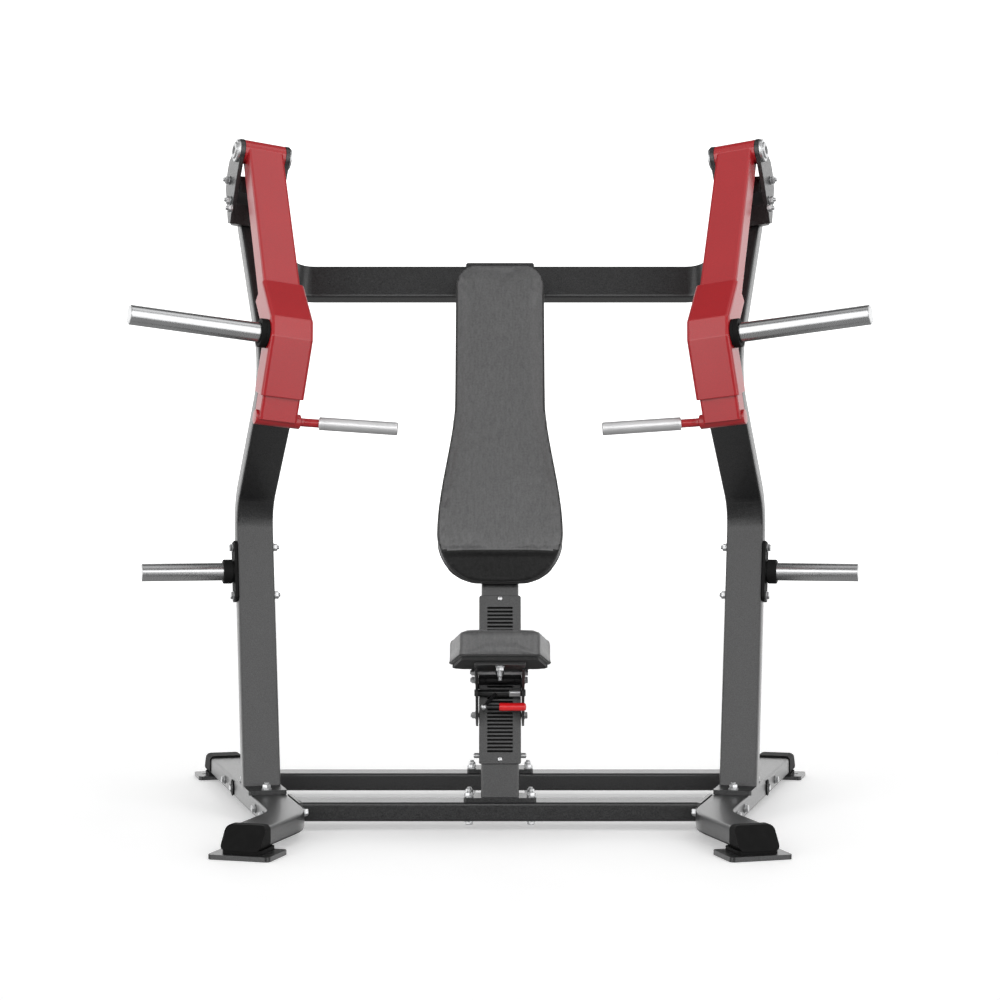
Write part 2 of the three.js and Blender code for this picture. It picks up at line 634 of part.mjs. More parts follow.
// ---------------------------------------------------------------- centre post
const leanTan = Math.tan(degrees(POST_LEAN));
const reclineTan = Math.tan(degrees(RECLINE));
const postBend = [POST_FACE[0] + (POST_BEND_Z - POST_FACE[1]) * leanTan, POST_BEND_Z];
const postTop = [postBend[0] + (UPPER_BAR.z - POST_BEND_Z) * reclineTan, UPPER_BAR.z];
const postFoot = [POST_FACE[0] - 40 * leanTan, POST_FACE[1] - 40];
const postFaceAt = (z) => POST_FACE[0] + (z - POST_FACE[1]) * leanTan;
const postUp = point(0, Math.sin(degrees(POST_LEAN)), Math.cos(degrees(POST_LEAN)));
const postFront = point(0, -Math.cos(degrees(POST_LEAN)), Math.sin(degrees(POST_LEAN)));
const ACROSS = point(1, 0, 0);

function postRoute() {
  const line = offsetLine([postFoot, postBend, postTop], TUBE_DEEP / 2);
  return new PlanarRoute(line.map(([y, z]) => point(0, y, z)), [250], ACROSS, 4);
}

function crossbarFlange(y) {
  const { wide, deep, thick } = POST_FLANGE;
  return solidOf(slab(roundedRectangle(wide, deep, 6), thick).translate(0, y, RAIL_TOP + GAP));
}

const belowCrossbars = () => solidOf(block(400, 1200, 200).translate(0, 0, RAIL_TOP + GAP - 200));

function centrePost() {
  const tube = solidOf(swept(tubeSection(TUBE_DEEP, POST_WIDE, WALL, TUBE_CORNER), postRoute()));
  const pin = solidOf(rod(STOP_PIN.radius + GAP, -200, 200, stopPinCentre, ACROSS, 16));
  return largest(cut(join(cut(tube, belowCrossbars()), crossbarFlange(FRONT_BAR_Y)), upperEnvelope(), pin));
}

const stopPinCentre = point(0, postFaceAt(STOP_PIN.z) + 22, STOP_PIN.z);

const stopPin = () => rod(STOP_PIN.radius, -STOP_PIN.half, STOP_PIN.half, stopPinCentre, ACROSS, 16);

function rearBrace() {
  const { footY, topY, topZ, wide } = BRACE;
  const foot = point(0, footY, RAIL_TOP);
  const top = point(0, topY, topZ);
  const run = top.clone().sub(foot).normalize();
  const start = foot.clone().addScaledVector(run, -60);
  const section = tubeSection(TUBE_DEEP, wide, WALL, TUBE_CORNER);
  const tube = solidOf(swept(section, new PlanarRoute([start, top.addScaledVector(run, 60)], [], ACROSS)));
  const envelope = roundedRectangle(TUBE_DEEP + 2 * GAP, POST_WIDE + 2 * GAP, TUBE_CORNER);
  const post = solidOf(swept(envelope, postRoute()));
  return join(largest(cut(tube, belowCrossbars(), post)), crossbarFlange(REAR_BAR_Y));
}

function rackPlate() {
  const { wide, thick, low, high, slotWide, slotHigh, pitch, slots } = RACK;
  const long = (high - low) / Math.cos(degrees(POST_LEAN));
  const shape = roundedRectangle(wide, long, 4);
  for (let i = 0; i < slots; i += 1) {
    const y = (i - (slots - 1) / 2) * pitch;
    const [w, h] = [slotWide / 2, slotHigh / 2];
    shape.holes.push(new THREE.Path([[-w, y - h], [-w, y + h], [w, y + h], [w, y - h]]
      .map(([px, py]) => new THREE.Vector2(px, py))));
  }
  const middle = (low + high) / 2;
  const centre = point(0, postFaceAt(middle), middle).addScaledVector(postFront, GAP);
  return placed(slab(shape, thick, 1), centre, ACROSS, postUp, postFront);
}

// ---------------------------------------------------------------- backrest
const padBack = TUBE_DEEP / 2 + GAP;   // from the crossbar's middle plane to the bracket's back

function backOutline(scale, drop) {
  const { topWide, bottomWide, long } = BACK_PAD;
  const [t, b] = [topWide / 2 * scale, bottomWide / 2 * scale];
  const half = long / 2 - drop;
  const shape = new THREE.Shape();
  shape.moveTo(-b * 0.4, -half + 3);
  shape.quadraticCurveTo(0, -half - 3, b * 0.4, -half + 3);
  shape.bezierCurveTo(b * 0.68, -half + 10, b * 0.95, -half + 50, b, -half + 125);
  shape.bezierCurveTo(b, -half + 260, t, -half + 400, t, half - 400);
  shape.lineTo(t, half - 72);
  shape.bezierCurveTo(t, half - 24, t * 0.78, half, t * 0.5, half);
  shape.lineTo(-t * 0.5, half);
  shape.bezierCurveTo(-t * 0.78, half, -t, half - 24, -t, half - 72);
  shape.lineTo(-t, half - 400);
  shape.bezierCurveTo(-t, -half + 400, -b, -half + 260, -b, -half + 125);
  shape.bezierCurveTo(-b * 0.95, -half + 50, -b * 0.68, -half + 10, -b * 0.4, -half + 3);
  return shape;
}

// The middle of the backrest on the bracket's back plane.
const backCentre = (() => {
  const up = BACK_PAD.topZ - UPPER_BAR.z;
  const along = up / Math.cos(degrees(RECLINE)) - BACK_PAD.long / 2 - 22;
  return upperCentre.clone().addScaledVector(reclineUp, along).addScaledVector(reclineFront, padBack);
})();
const BRACKET_THICK = 10;

function padBracket() {
  const shape = roundedRectangle(192, UPPER_BAR.high + 8, 6);
  const centre = upperCentre.clone().addScaledVector(reclineUp, -1).addScaledVector(reclineFront, padBack);
  return placed(slab(shape, BRACKET_THICK), centre, ACROSS, reclineUp, reclineFront);
}

function backBoard() {
  const centre = backCentre.clone().addScaledVector(reclineFront, BRACKET_THICK + GAP);
  return placed(slab(backOutline(0.93, 12), BACK_PAD.board, 5), centre,
    ACROSS, reclineUp, reclineFront);
}

function backPad() {
  const start = BRACKET_THICK + BACK_PAD.board + 2 * GAP;
  const centre = backCentre.clone().addScaledVector(reclineFront, start);
  const body = solidOf(placed(slab(backOutline(1, 0), BACK_PAD.thick, 5), centre,
    ACROSS, reclineUp, reclineFront));
  // the lower end of the pad is bevelled back
  const low = -BACK_PAD.long / 2;
  const { bevelLong, endThick, thick } = BACK_PAD;
  const above = 2 * thick;
  const corners = [[low - 40, endThick], [low - 40, above], [low + bevelLong, above],
    [low + bevelLong, thick]];
  const bevel = slab(polygon(corners), 500).translate(0, 0, -250);
  return cut(body, solidOf(placed(bevel, centre, reclineUp, reclineFront,
    reclineUp.clone().cross(reclineFront))));
}

// ---------------------------------------------------------------- seat
const seatBack = point(0, Math.cos(degrees(SEAT.tilt)), -Math.sin(degrees(SEAT.tilt)));
const seatUp = point(0, Math.sin(degrees(SEAT.tilt)), Math.cos(degrees(SEAT.tilt)));
const seatFrontTop = point(0, SEAT.frontY, SEAT.topZ);

function seatOutline(inset) {
  const { long, wide, frontWide } = SEAT;
  const [f, w, l] = [frontWide / 2 - inset * 0.6, wide / 2 - inset, long - inset];
  const [near, far] = SEAT_FLARE;
  const shape = new THREE.Shape();
  shape.moveTo(-f, inset);
  shape.quadraticCurveTo(0, inset - 12, f, inset);
  shape.quadraticCurveTo(f + 8, inset + 2, f + 12, inset + near);
  shape.lineTo(w - 4, far - 8);
  shape.quadraticCurveTo(w, far, w, far + 10);
  shape.lineTo(w, l - 60);
  shape.quadraticCurveTo(w, l, w - 60, l);
  shape.lineTo(-w + 60, l);
  shape.quadraticCurveTo(-w, l, -w, l - 60);
  shape.lineTo(-w, far + 10);
  shape.quadraticCurveTo(-w, far, -w + 4, far - 8);
  shape.lineTo(-f - 12, inset + near);
  shape.quadraticCurveTo(-f - 8, inset + 2, -f, inset);
  return shape;
}

function seatLayer(inset, down, thick) {
  const origin = seatFrontTop.clone().addScaledVector(seatUp, -down - thick);
  return placed(slab(seatOutline(inset), thick, 3), origin, ACROSS, seatBack, seatUp);
}

const seatPad = () => seatLayer(0, 0, SEAT.thick);
const seatBoard = () => seatLayer(8, SEAT.thick + GAP, SEAT.board);
const SEAT_UNDER = SEAT.thick + SEAT.board + 2 * GAP;

// Where the carriage's cross shafts lie: [distance ahead of the post's front face, height].
const ROLLER_Z = 388;
const REAR_ROLLER_Z = 301;
const rackFront = GAP + RACK.thick;
const frontRollerAt = point(0, postFaceAt(ROLLER_Z), ROLLER_Z)
  .addScaledVector(postFront, rackFront + ROLLER_RADIUS + 0.5);
const rearRollerAt = point(0, postFaceAt(REAR_ROLLER_Z), REAR_ROLLER_Z)
  .addScaledVector(postFront, -TUBE_DEEP - ROLLER_RADIUS - 0.5);
const latchAt = point(0, postFaceAt(LATCH.z), LATCH.z).addScaledVector(postFront, rackFront + LATCH.ahead);

function seatCarriage() {
  const { inside, thick } = SIDE_PLATE;
  const under = seatFrontTop.clone().addScaledVector(seatUp, -SEAT_UNDER);
  const underAt = (y) => under.z - (y - under.y) * Math.tan(degrees(SEAT.tilt)) - 0.5;
  const outline = polygon([[-322, 284], [-352, 300], [-372, 372], [-470, underAt(-470) - 12],
    [-470, underAt(-470)], [-222, underAt(-222)], [-182, 360], [-172, 300], [-196, 276], [-286, 270]]);
  const bodies = [];
  for (const side of [-1, 1]) {
    const start = side > 0 ? inside : -inside - thick;
    bodies.push(solidOf(placed(slab(outline, thick), point(start, 0, 0), point(0, 1, 0), UP, ACROSS)));
  }
  const shelfStart = under.clone().addScaledVector(seatBack, 60).addScaledVector(seatUp, -8);
  const shelfPlate = slab(roundedRectangle(128, 226, 6), 8, 2);
  const shelfMiddle = shelfStart.addScaledVector(seatBack, 113);
  const shelf = solidOf(placed(shelfPlate, shelfMiddle, ACROSS, seatBack, seatUp));
  const tie = solidOf(rod(8, -inside - 1, inside + 1, rearRollerAt.clone().addScaledVector(postUp, 78)
    .addScaledVector(postFront, -6), ACROSS, 16));
  const bore = (at, radius) => solidOf(rod(radius, -100, 100, at, ACROSS, 24));
  const body = join(bodies[0], bodies[1], shelf, tie);
  return cut(body, bore(frontRollerAt, 6.4), bore(rearRollerAt, 6.4), bore(latchAt, LATCH.radius + 0.5));
}

// A roller with its axle, turning between the carriage's side plates.
function carriageRoller(at) {
  const half = SIDE_PLATE.inside - 1;
  const end = SIDE_PLATE.inside + SIDE_PLATE.thick + 14;
  const profile = [[0, -end], [6, -end], [6, -half], [ROLLER_RADIUS, -half + 2], [ROLLER_RADIUS, half - 2],
    [6, half], [6, end], [0, end]];
  return turned(profile, at, ACROSS, 24);
}

// Latch: cross shaft, pawl toward the rack, lever arm and the rod of the lever grip.
const leverEnd = latchAt.clone().add(point(-42, -66, -30));
const gripStart = 40;

function seatLatch() {
  const shaftHalf = SIDE_PLATE.inside + 10;
  const shaft = solidOf(rod(LATCH.radius, -shaftHalf, shaftHalf, latchAt, ACROSS, 24));
  const pawl = solidOf(placed(block(60, 6, LATCH.ahead - 1), latchAt, ACROSS.clone().negate(), postUp,
    postFront.clone().negate()));
  const arm = [latchAt.clone().add(point(-8, 0, 0)), leverEnd];
  const run = arm[1].clone().sub(arm[0]);
  const armBody = solidOf(rod(4.5, -2, run.length() + 3, arm[0], run.clone().normalize(), 12));
  const handle = solidOf(rod(4.5, -4, 108, leverEnd, ACROSS, 12));
  return join(shaft, pawl, armBody, handle);
}

function leverGrip() {
  const profile = [[4.8, gripStart], [9, gripStart], [10.5, gripStart + 3], [10.5, gripStart + 64],
    [7, gripStart + 74], [0, gripStart + 76], [0, gripStart + 69], [4.8, gripStart + 69], [4.8, gripStart]];
  return turned(profile, leverEnd, ACROSS, 20);
}

// ---------------------------------------------------------------- assembly
for (const side of ['left', 'right']) {
  const half = new THREE.Group();
  if (side === 'right') half.scale.x = -1;
  machine.add(half);
  const add = (name, shape, look) => addPiece(half, `${side}_${name}`, shape, look);
  const outerPlate = YOKE_INSIDE;
  add('base_rail', baseRail(), 'frame');
  add('front_foot', rubberFoot(railFront, forward, FRONT_SLEEVE), 'rubber');
  add('rear_foot', rubberFoot(railRear, backward, REAR_SLEEVE), 'rubber');
  add('front_floor_plate', floorPlate(railFront, forward, -2), 'frame');
  add('rear_floor_plate', floorPlate(railRear, backward, 18), 'frame');
  add('upright', upright(), 'frame');
  add('yoke_outer_plate', yokePlate(outerPlate), 'frame');
  add('yoke_inner_plate', yokePlate(-outerPlate - YOKE_THICK), 'frame');
  add('yoke_saddle', yokeSaddle(), 'frame');
  add('pivot_shaft', pivotShaft(), 'zinc');
  add('press_arm', pressArm(), 'red');
  add('arm_elbow', elbowSleeve(), 'red');
  add('weight_peg', weightPeg(), 'chrome');
  add('weight_peg_collar', weightCollar(), 'rubber');
  add('handle_bar', handleBar(), 'red');
  add('hand_grip', handGrip(), 'grip');
  add('stop_bracket', stopBracket(), 'frame');
  add('stop_pad', stopPad(), 'rubber');
  add('storage_mount', storeMount(), 'frame');
  add('storage_peg', storePeg(), 'chrome');
}

addPiece(machine, 'front_crossbar', lowerCrossbar(FRONT_BAR_Y), 'frame');
addPiece(machine, 'rear_crossbar', lowerCrossbar(REAR_BAR_Y), 'frame');
addPiece(machine, 'upper_crossbar', upperCrossbar(), 'frame');
addPiece(machine, 'centre_post', centrePost(), 'frame');
addPiece(machine, 'rear_brace', rearBrace(), 'frame');
addPiece(machine, 'seat_rack', rackPlate(), 'frame');
addPiece(machine, 'seat_stop_pin', stopPin(), 'zinc');
addPiece(machine, 'back_pad_bracket', padBracket(), 'frame');
addPiece(machine, 'back_pad_board', backBoard(), 'board');
addPiece(machine, 'back_pad', backPad(), 'vinyl');
addPiece(machine, 'seat_carriage', seatCarriage(), 'frame');
addPiece(machine, 'seat_board', seatBoard(), 'board');
addPiece(machine, 'seat_pad', seatPad(), 'vinyl');
addPiece(machine, 'front_guide_roller', carriageRoller(frontRollerAt), 'rubber');
addPiece(machine, 'rear_guide_roller', carriageRoller(rearRollerAt), 'rubber');
addPiece(machine, 'seat_latch', seatLatch(), 'zinc');
addPiece(machine, 'latch_grip', leverGrip(), 'leverRed');

export default machine;
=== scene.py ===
# Plate-loaded chest press machine: looks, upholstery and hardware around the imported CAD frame.
# Metres, +Z up, the user faces -Y, in the same frame as the CAD. Numbers multiplied by MM are millimetres.
import json
import math
from functools import partial

import bmesh
import bpy
from mathutils import Matrix, Vector
from mathutils.bvhtree import BVHTree


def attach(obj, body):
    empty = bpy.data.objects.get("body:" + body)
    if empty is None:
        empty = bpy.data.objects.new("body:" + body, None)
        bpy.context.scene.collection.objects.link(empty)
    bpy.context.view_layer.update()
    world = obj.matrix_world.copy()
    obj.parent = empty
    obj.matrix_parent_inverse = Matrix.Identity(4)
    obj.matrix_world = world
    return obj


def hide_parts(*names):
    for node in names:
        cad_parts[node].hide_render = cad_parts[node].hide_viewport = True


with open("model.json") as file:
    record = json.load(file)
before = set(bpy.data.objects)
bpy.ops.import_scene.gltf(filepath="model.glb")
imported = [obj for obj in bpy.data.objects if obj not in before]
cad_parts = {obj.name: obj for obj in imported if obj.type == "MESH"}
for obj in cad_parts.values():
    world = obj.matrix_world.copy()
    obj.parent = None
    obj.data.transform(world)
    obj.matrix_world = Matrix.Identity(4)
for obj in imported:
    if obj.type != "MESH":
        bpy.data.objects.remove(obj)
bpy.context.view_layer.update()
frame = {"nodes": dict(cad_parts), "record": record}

NODES = frame["nodes"]
SCENE = bpy.context.scene
MM = 0.001
# ------------------------------------------------------------------ geometry shared with the CAD
SHIFT = 15                                  # the CAD's move along Y that centres its box
PIVOT = Vector((-654, -68 + SHIFT, 1819)) * MM
AXIS = Vector((-0.913, -0.389, 0.1)).normalized()
SWING_FORWARD = Vector((-AXIS.y, AXIS.x, 0)).normalized()
SWING_UP = AXIS.cross(SWING_FORWARD).normalized()
YAW = math.radians(16.2)                    # of the base rails' rear legs
BACKWARD = Vector((-math.sin(YAW), math.cos(YAW), 0))
REAR_OUT = Vector((-math.cos(YAW), -math.sin(YAW), 0))
BEND_POINT = Vector((-543, -455 + SHIFT, 0)) * MM
RAIL_HALF_WIDTH = 50
UPRIGHT_FOOT = Vector((-649.7, -106 + SHIFT, 0)) * MM
UPRIGHT_RUN, UPRIGHT_RISE = 139, 779        # how far back the upright's lower part leans as it rises
UPRIGHT_LEAN = Vector((BACKWARD.x * UPRIGHT_RUN, BACKWARD.y * UPRIGHT_RUN, UPRIGHT_RISE)).normalized()
FLANGE_TOP = 73.3 + 12                      # of the base flanges on the rails and crossbars
CROSSBAR_DEPTHS = (-276, 270)               # the lower crossbars' middles along Y
CROSSBAR_BOTTOM = 23
UPPER_BAR_HEIGHT = 1478
UPPER_BAR = Vector((0, 78 + SHIFT, UPPER_BAR_HEIGHT)) * MM
LEAN = math.radians(9.5)                    # of the seat's post
POST_UP = Vector((0, math.sin(LEAN), math.cos(LEAN)))
POST_FRONT = Vector((0, -math.cos(LEAN), math.sin(LEAN)))
RECLINE = math.radians(18)                  # of the backrest
RECLINE_UP = Vector((0, math.sin(RECLINE), math.cos(RECLINE)))
RECLINE_FRONT = Vector((0, -math.cos(RECLINE), math.sin(RECLINE)))
SEAT_TILT = math.radians(9)
SEAT_BACK = Vector((0, math.cos(SEAT_TILT), -math.sin(SEAT_TILT)))
SEAT_UP = Vector((0, math.sin(SEAT_TILT), math.cos(SEAT_TILT)))
SEAT_FRONT = Vector((0, -625 + SHIFT, 544)) * MM
X_AXIS = Vector((1, 0, 0))
Z_AXIS = Vector((0, 0, 1))


def swing(f, u, t=0.0):
    """A point of the left arm's swing plane: forward, up and outward from the pivot, in millimetres."""
    return PIVOT + (SWING_FORWARD * f + SWING_UP * u + AXIS * t) * MM


def advance(start, lean, distance):
    """The end of a straight run down the arm, leaning forward by some degrees."""
    angle = math.radians(lean)
    return (start[0] + math.sin(angle) * distance, start[1] - math.cos(angle) * distance)


def post_face(z):
    """The post's front face at a height, in millimetres."""
    return Vector((0, -313 + SHIFT + (z - 73) * math.tan(LEAN), z)) * MM


KNEE = advance((0, 0), 35.8, 510.6)
ELBOW_TOP = advance(KNEE, 48, 148)
ELBOW_LOW = advance(ELBOW_TOP, 16.5, 33)
CARRIER = advance(ELBOW_LOW, -12, 207)      # the cross tube that carries the handle
ELBOW_SIDE = 57.3                           # the elbow sleeve's outer side along the pivot's axis
PEG_ROOT = swing(*ELBOW_TOP).lerp(swing(*ELBOW_LOW), 0.75)
CARRIER_POINT = swing(*CARRIER)
ROD_CORNER = CARRIER_POINT - AXIS * 76 * MM
GRIP_DIRECTION = Vector((1, 0, -0.068)).normalized()


# ------------------------------------------------------------------ materials
def plug(tree, value, socket):
    """Links a socket to another, or sets it to a constant."""
    if isinstance(value, bpy.types.NodeSocket):
        tree.links.new(value, socket)
    else:
        socket.default_value = value


def node_of(tree, kind, **inputs):
    made = tree.nodes.new(kind)
    for key, value in inputs.items():
        plug(tree, value, made.inputs[key])
    return made


def math_of(tree, operation, *values):
    made = tree.nodes.new("ShaderNodeMath")
    made.operation = operation
    for socket, value in zip(made.inputs, values):
        plug(tree, value, socket)
    return made.outputs[0]


def mix_of(tree, fac, first, second, blend="MIX"):
    """Mixes two colours; the factor and either colour can be a constant or a socket."""
    made = tree.nodes.new("ShaderNodeMix")
    made.data_type = "RGBA"
    made.blend_type = blend
    for index, value in ((0, fac), (6, first), (7, second)):
        plug(tree, (*value, 1) if isinstance(value, tuple) else value, made.inputs[index])
    return made.outputs[2]


def noise_of(tree, coords, scale, detail=2.0, roughness=0.5, stretch=None):
    if stretch:
        coords = node_of(tree, "ShaderNodeMapping", Vector=coords, Scale=stretch).outputs["Vector"]
    made = node_of(tree, "ShaderNodeTexNoise", Vector=coords, Scale=scale, Detail=detail, Roughness=roughness)
    return made.outputs["Fac"]


def remap(tree, value, low, high, start=0.3, end=0.7):
    """Stretches start to end over low to high; noise mostly lies between 0.3 and 0.7."""
    limits = {"From Min": start, "From Max": end, "To Min": low, "To Max": high}
    return node_of(tree, "ShaderNodeMapRange", Value=value, **limits).outputs["Result"]


def bump_of(tree, height, strength, distance, normal=None):
    made = node_of(tree, "ShaderNodeBump", Height=height, Strength=strength, Distance=distance)
    if normal:
        tree.links.new(normal, made.inputs["Normal"])
    return made.outputs["Normal"]


def shaded(color, factor):
    return tuple(min(1.0, c * factor) for c in color)


def new_surface(name, **constants):
    """A material, its node tree, its shader with the constants set, and object coordinates."""
    surface = bpy.data.materials.new(name)
    surface.use_nodes = True
    tree = surface.node_tree
    shader = tree.nodes["Principled BSDF"]
    for key, value in constants.items():
        shader.inputs[key.replace("_", " ")].default_value = value
    coords = tree.nodes.new("ShaderNodeTexCoord").outputs["Object"]
    return surface, tree, shader, coords


def finish_surface(tree, shader, color, roughness, normal):
    tree.links.new(color, shader.inputs["Base Color"])
    tree.links.new(roughness, shader.inputs["Roughness"])
    tree.links.new(normal, shader.inputs["Normal"])


def highlit_edges(tree, width=0.0016):
    """The mask of a painted edge highlight: 1 along sharp outer edges, 0 on flat areas, from the rounded
    normal.
    """
    rounded = tree.nodes.new("ShaderNodeBevel")
    rounded.samples = 6
    rounded.inputs["Radius"].default_value = width
    geometry = tree.nodes.new("ShaderNodeNewGeometry")
    dot = tree.nodes.new("ShaderNodeVectorMath")
    dot.operation = "DOT_PRODUCT"
    tree.links.new(rounded.outputs["Normal"], dot.inputs[0])
    tree.links.new(geometry.outputs["Normal"], dot.inputs[1])
    return remap(tree, dot.outputs["Value"], 1.0, 0.0, 0.86, 0.985)


def powder_coat(name, base, rough, coat, speck, grain=1.0):
    """Baked powder paint: orange-peel relief, fine sparkle, and edges painted lighter as a painted highlight.
    """
    surface, tree, shader, coords = new_surface(
        name, Roughness=rough, Coat_Weight=coat, Coat_Roughness=0.16, IOR=1.5)
    fine = noise_of(tree, coords, 400, 4.0, 0.7)
    cloud = remap(tree, noise_of(tree, coords, 7, 3.0), 0, 1)
    speckled = mix_of(tree, remap(tree, fine, 0, 1, 0.38, 0.64),
                      shaded(base, 1 - speck), shaded(base, 1 + speck))
    tone = mix_of(tree, cloud, (0.93, 0.93, 0.93), (1, 1, 1))
    broad = mix_of(tree, 1.0, speckled, tone, "MULTIPLY")
    # painted highlight: the paint is lightened along sharp edges, where light catches them
    edge_highlighted = mix_of(tree, remap(tree, highlit_edges(tree), 0.0, 0.45, 0.0, 1.0), broad, shaded(base, 1.7))
    peel = bump_of(tree, noise_of(tree, coords, 210, 2.0), 0.25 * grain, 0.0006)
    finish_surface(tree, shader, edge_highlighted, remap(tree, fine, rough - 0.07, rough + 0.09),
                   bump_of(tree, fine, 0.55 * grain, 0.0005, peel))
    return surface


def bare_metal(name, base, low, high, stretch, bump=0.05, scale=60):
    """Plated or drawn metal with fine drawing marks along one direction and faint stains."""
    surface, tree, shader, coords = new_surface(name, Metallic=1.0)
    marks = noise_of(tree, coords, scale, 4.0, 0.6, stretch)
    stains = remap(tree, noise_of(tree, coords, 14, 4.0), 0, 1)
    color = mix_of(tree, stains, shaded(base, 0.90), base)
    finish_surface(tree, shader, color, remap(tree, marks, low, high), bump_of(tree, marks, bump, 0.0004))
    return surface


def moulded(name, base, rough, relief, scale, coat=0.0, specular=0.5):
    """Moulded rubber or plastic: matte grain with scuffs a little lighter than the rest."""
    surface, tree, shader, coords = new_surface(
        name, Coat_Weight=coat, Coat_Roughness=0.25, Specular_IOR_Level=specular)
    grain = noise_of(tree, coords, scale, 3.0, 0.6)
    scuffs = remap(tree, noise_of(tree, coords, 38, 5.0, 0.7), 0, 1, 0.45, 0.75)
    finish_surface(tree, shader, mix_of(tree, scuffs, base, shaded(base, 1.5)),
                   remap(tree, grain, rough - 0.08, rough + 0.08), bump_of(tree, grain, relief, 0.0004))
    return surface


def vinyl(name, base, specular=0.95):
    """Upholstery vinyl: pebbled grain cells, mottled tone and a soft sheen at glancing angles."""
    surface, tree, shader, coords = new_surface(
        name, Sheen_Weight=0.10, Sheen_Roughness=0.5, Specular_IOR_Level=specular)
    cells = node_of(tree, "ShaderNodeTexVoronoi", Vector=coords, Scale=520)
    cells.feature = "DISTANCE_TO_EDGE"
    mottle = noise_of(tree, coords, 190, 3.0, 0.6)
    weave = noise_of(tree, coords, 95, 4.0, 0.6, (1.6, 1.0, 0.35))
    cloud = remap(tree, noise_of(tree, coords, 9, 2.0), 0, 1)
    flecks = math_of(tree, "ADD", remap(tree, mottle, 0, 0.55), remap(tree, weave, 0, 0.45))
    tone = mix_of(tree, flecks, shaded(base, 0.45), shaded(base, 1.65))
    color = mix_of(tree, 1.0, tone, mix_of(tree, cloud, (0.92, 0.92, 0.92), (1, 1, 1)), "MULTIPLY")
    grain = bump_of(tree, remap(tree, cells.outputs["Distance"], 0, 1, 0.0, 0.25), 0.35, 0.0004)
    finish_surface(tree, shader, color, remap(tree, mottle, 0.38, 0.52),
                   bump_of(tree, mottle, 0.40, 0.0008, grain))
    return surface


FRAME_COLOR = (0.018, 0.0182, 0.0188)
RED_COLOR = (0.40, 0.009, 0.014)
SURFACES = {
    "frame_paint": powder_coat("frame_powder_coat", FRAME_COLOR, 0.34, 0.15, 0.85, 1.5),
    "red_paint": powder_coat("red_powder_coat", RED_COLOR, 0.36, 0.30, 0.10, 0.5),
    "chrome": bare_metal("chrome_plating", (0.48, 0.484, 0.488), 0.20, 0.32, (1, 30, 30), 0.02, 40),
    "grip_metal": bare_metal("satin_grip", (0.78, 0.78, 0.785), 0.44, 0.58, (14, 0.6, 0.6), 0.10, 120),
    "zinc_steel": bare_metal("zinc_plating", (0.60, 0.605, 0.61), 0.34, 0.50, (1, 1, 1), 0.12, 420),
    "black_rubber": moulded("black_rubber", (0.006, 0.006, 0.006), 0.66, 0.20, 900, specular=0.12),
    "black_plastic": moulded("black_plastic", (0.013, 0.013, 0.014), 0.45, 0.10, 700),
    "board": moulded("black_board", (0.012, 0.012, 0.012), 0.75, 0.35, 260),
    "red_plastic": moulded("red_dipped_vinyl", (0.66, 0.008, 0.012), 0.36, 0.10, 500, 0.3),
    "upholstery": vinyl("grained_vinyl", (0.046, 0.046, 0.047)),
    # the same vinyl darker and duller: painted shade for the back pad's sides and sloped end
    "side_vinyl": vinyl("side_vinyl_painted_shade", (0.011, 0.011, 0.011), 0.30),
    "piping": moulded("dark_piping", (0.022, 0.022, 0.022), 0.55, 0.15, 800),
}


# ------------------------------------------------------------------ mesh helpers
def axes_along(direction):
    z = direction.normalized()
    side = Z_AXIS if abs(z.z) < 0.9 else X_AXIS
    x = side.cross(z).normalized()
    return x, z.cross(x), z


def spoke(x, y, angle):
    """The direction at an angle between two axes."""
    return x * math.cos(angle) + y * math.sin(angle)


def basis(origin, x, y, z):
    """The placement that carries local X, Y and Z onto three directions at an origin."""
    return Matrix([[column[row] for column in (x, y, z, origin)] for row in range(3)] + [(0, 0, 0, 1)])


def add_skin(shell, rings):
    """Closes a stack of equal rings of vertices: quads between neighbours and a cap at each end."""
    for low, high in zip(rings, rings[1:]):
        for i in range(len(low)):
            j = (i + 1) % len(low)
            shell.faces.new((low[i], low[j], high[j], high[i]))
    shell.faces.new(rings[-1])
    shell.faces.new(list(reversed(rings[0])))


def add_lathe(shell, profile, origin, direction, segments=64):
    """Turns (radius, distance) points in millimetres into a closed round form of the bmesh."""
    x, y, z = axes_along(direction)
    rings = []
    for radius, distance in profile:
        centre = origin + z * distance * MM
        if radius < 1e-6:
            rings.append([shell.verts.new(centre)])
            continue
        rings.append([shell.verts.new(centre + spoke(x, y, 2 * math.pi * i / segments) * radius * MM)
                      for i in range(segments)])
    for low, high in zip(rings, rings[1:]):
        for i in range(segments):
            j = (i + 1) % segments
            corners = [low[i % len(low)], low[j % len(low)], high[j % len(high)], high[i % len(high)]]
            unique = list(dict.fromkeys(corners))
            if len(unique) > 2:
                shell.faces.new(unique)


def add_hex(shell, origin, direction, across_flats, height, turn=0.0):
    """A hexagon head with its corners chamfered round, standing on its seat."""
    x, y, z = axes_along(direction)
    corner = across_flats / math.sqrt(3)
    levels = ((corner * 0.985, 0), (corner, 0.06 * height), (corner, 0.80 * height), (corner * 0.88, height))
    rings = []
    for radius, level in levels:
        offsets = [spoke(x, y, math.radians(60 * i + turn)) * radius + z * level for i in range(6)]
        rings.append([shell.verts.new(origin + offset * MM) for offset in offsets])
    add_skin(shell, rings)


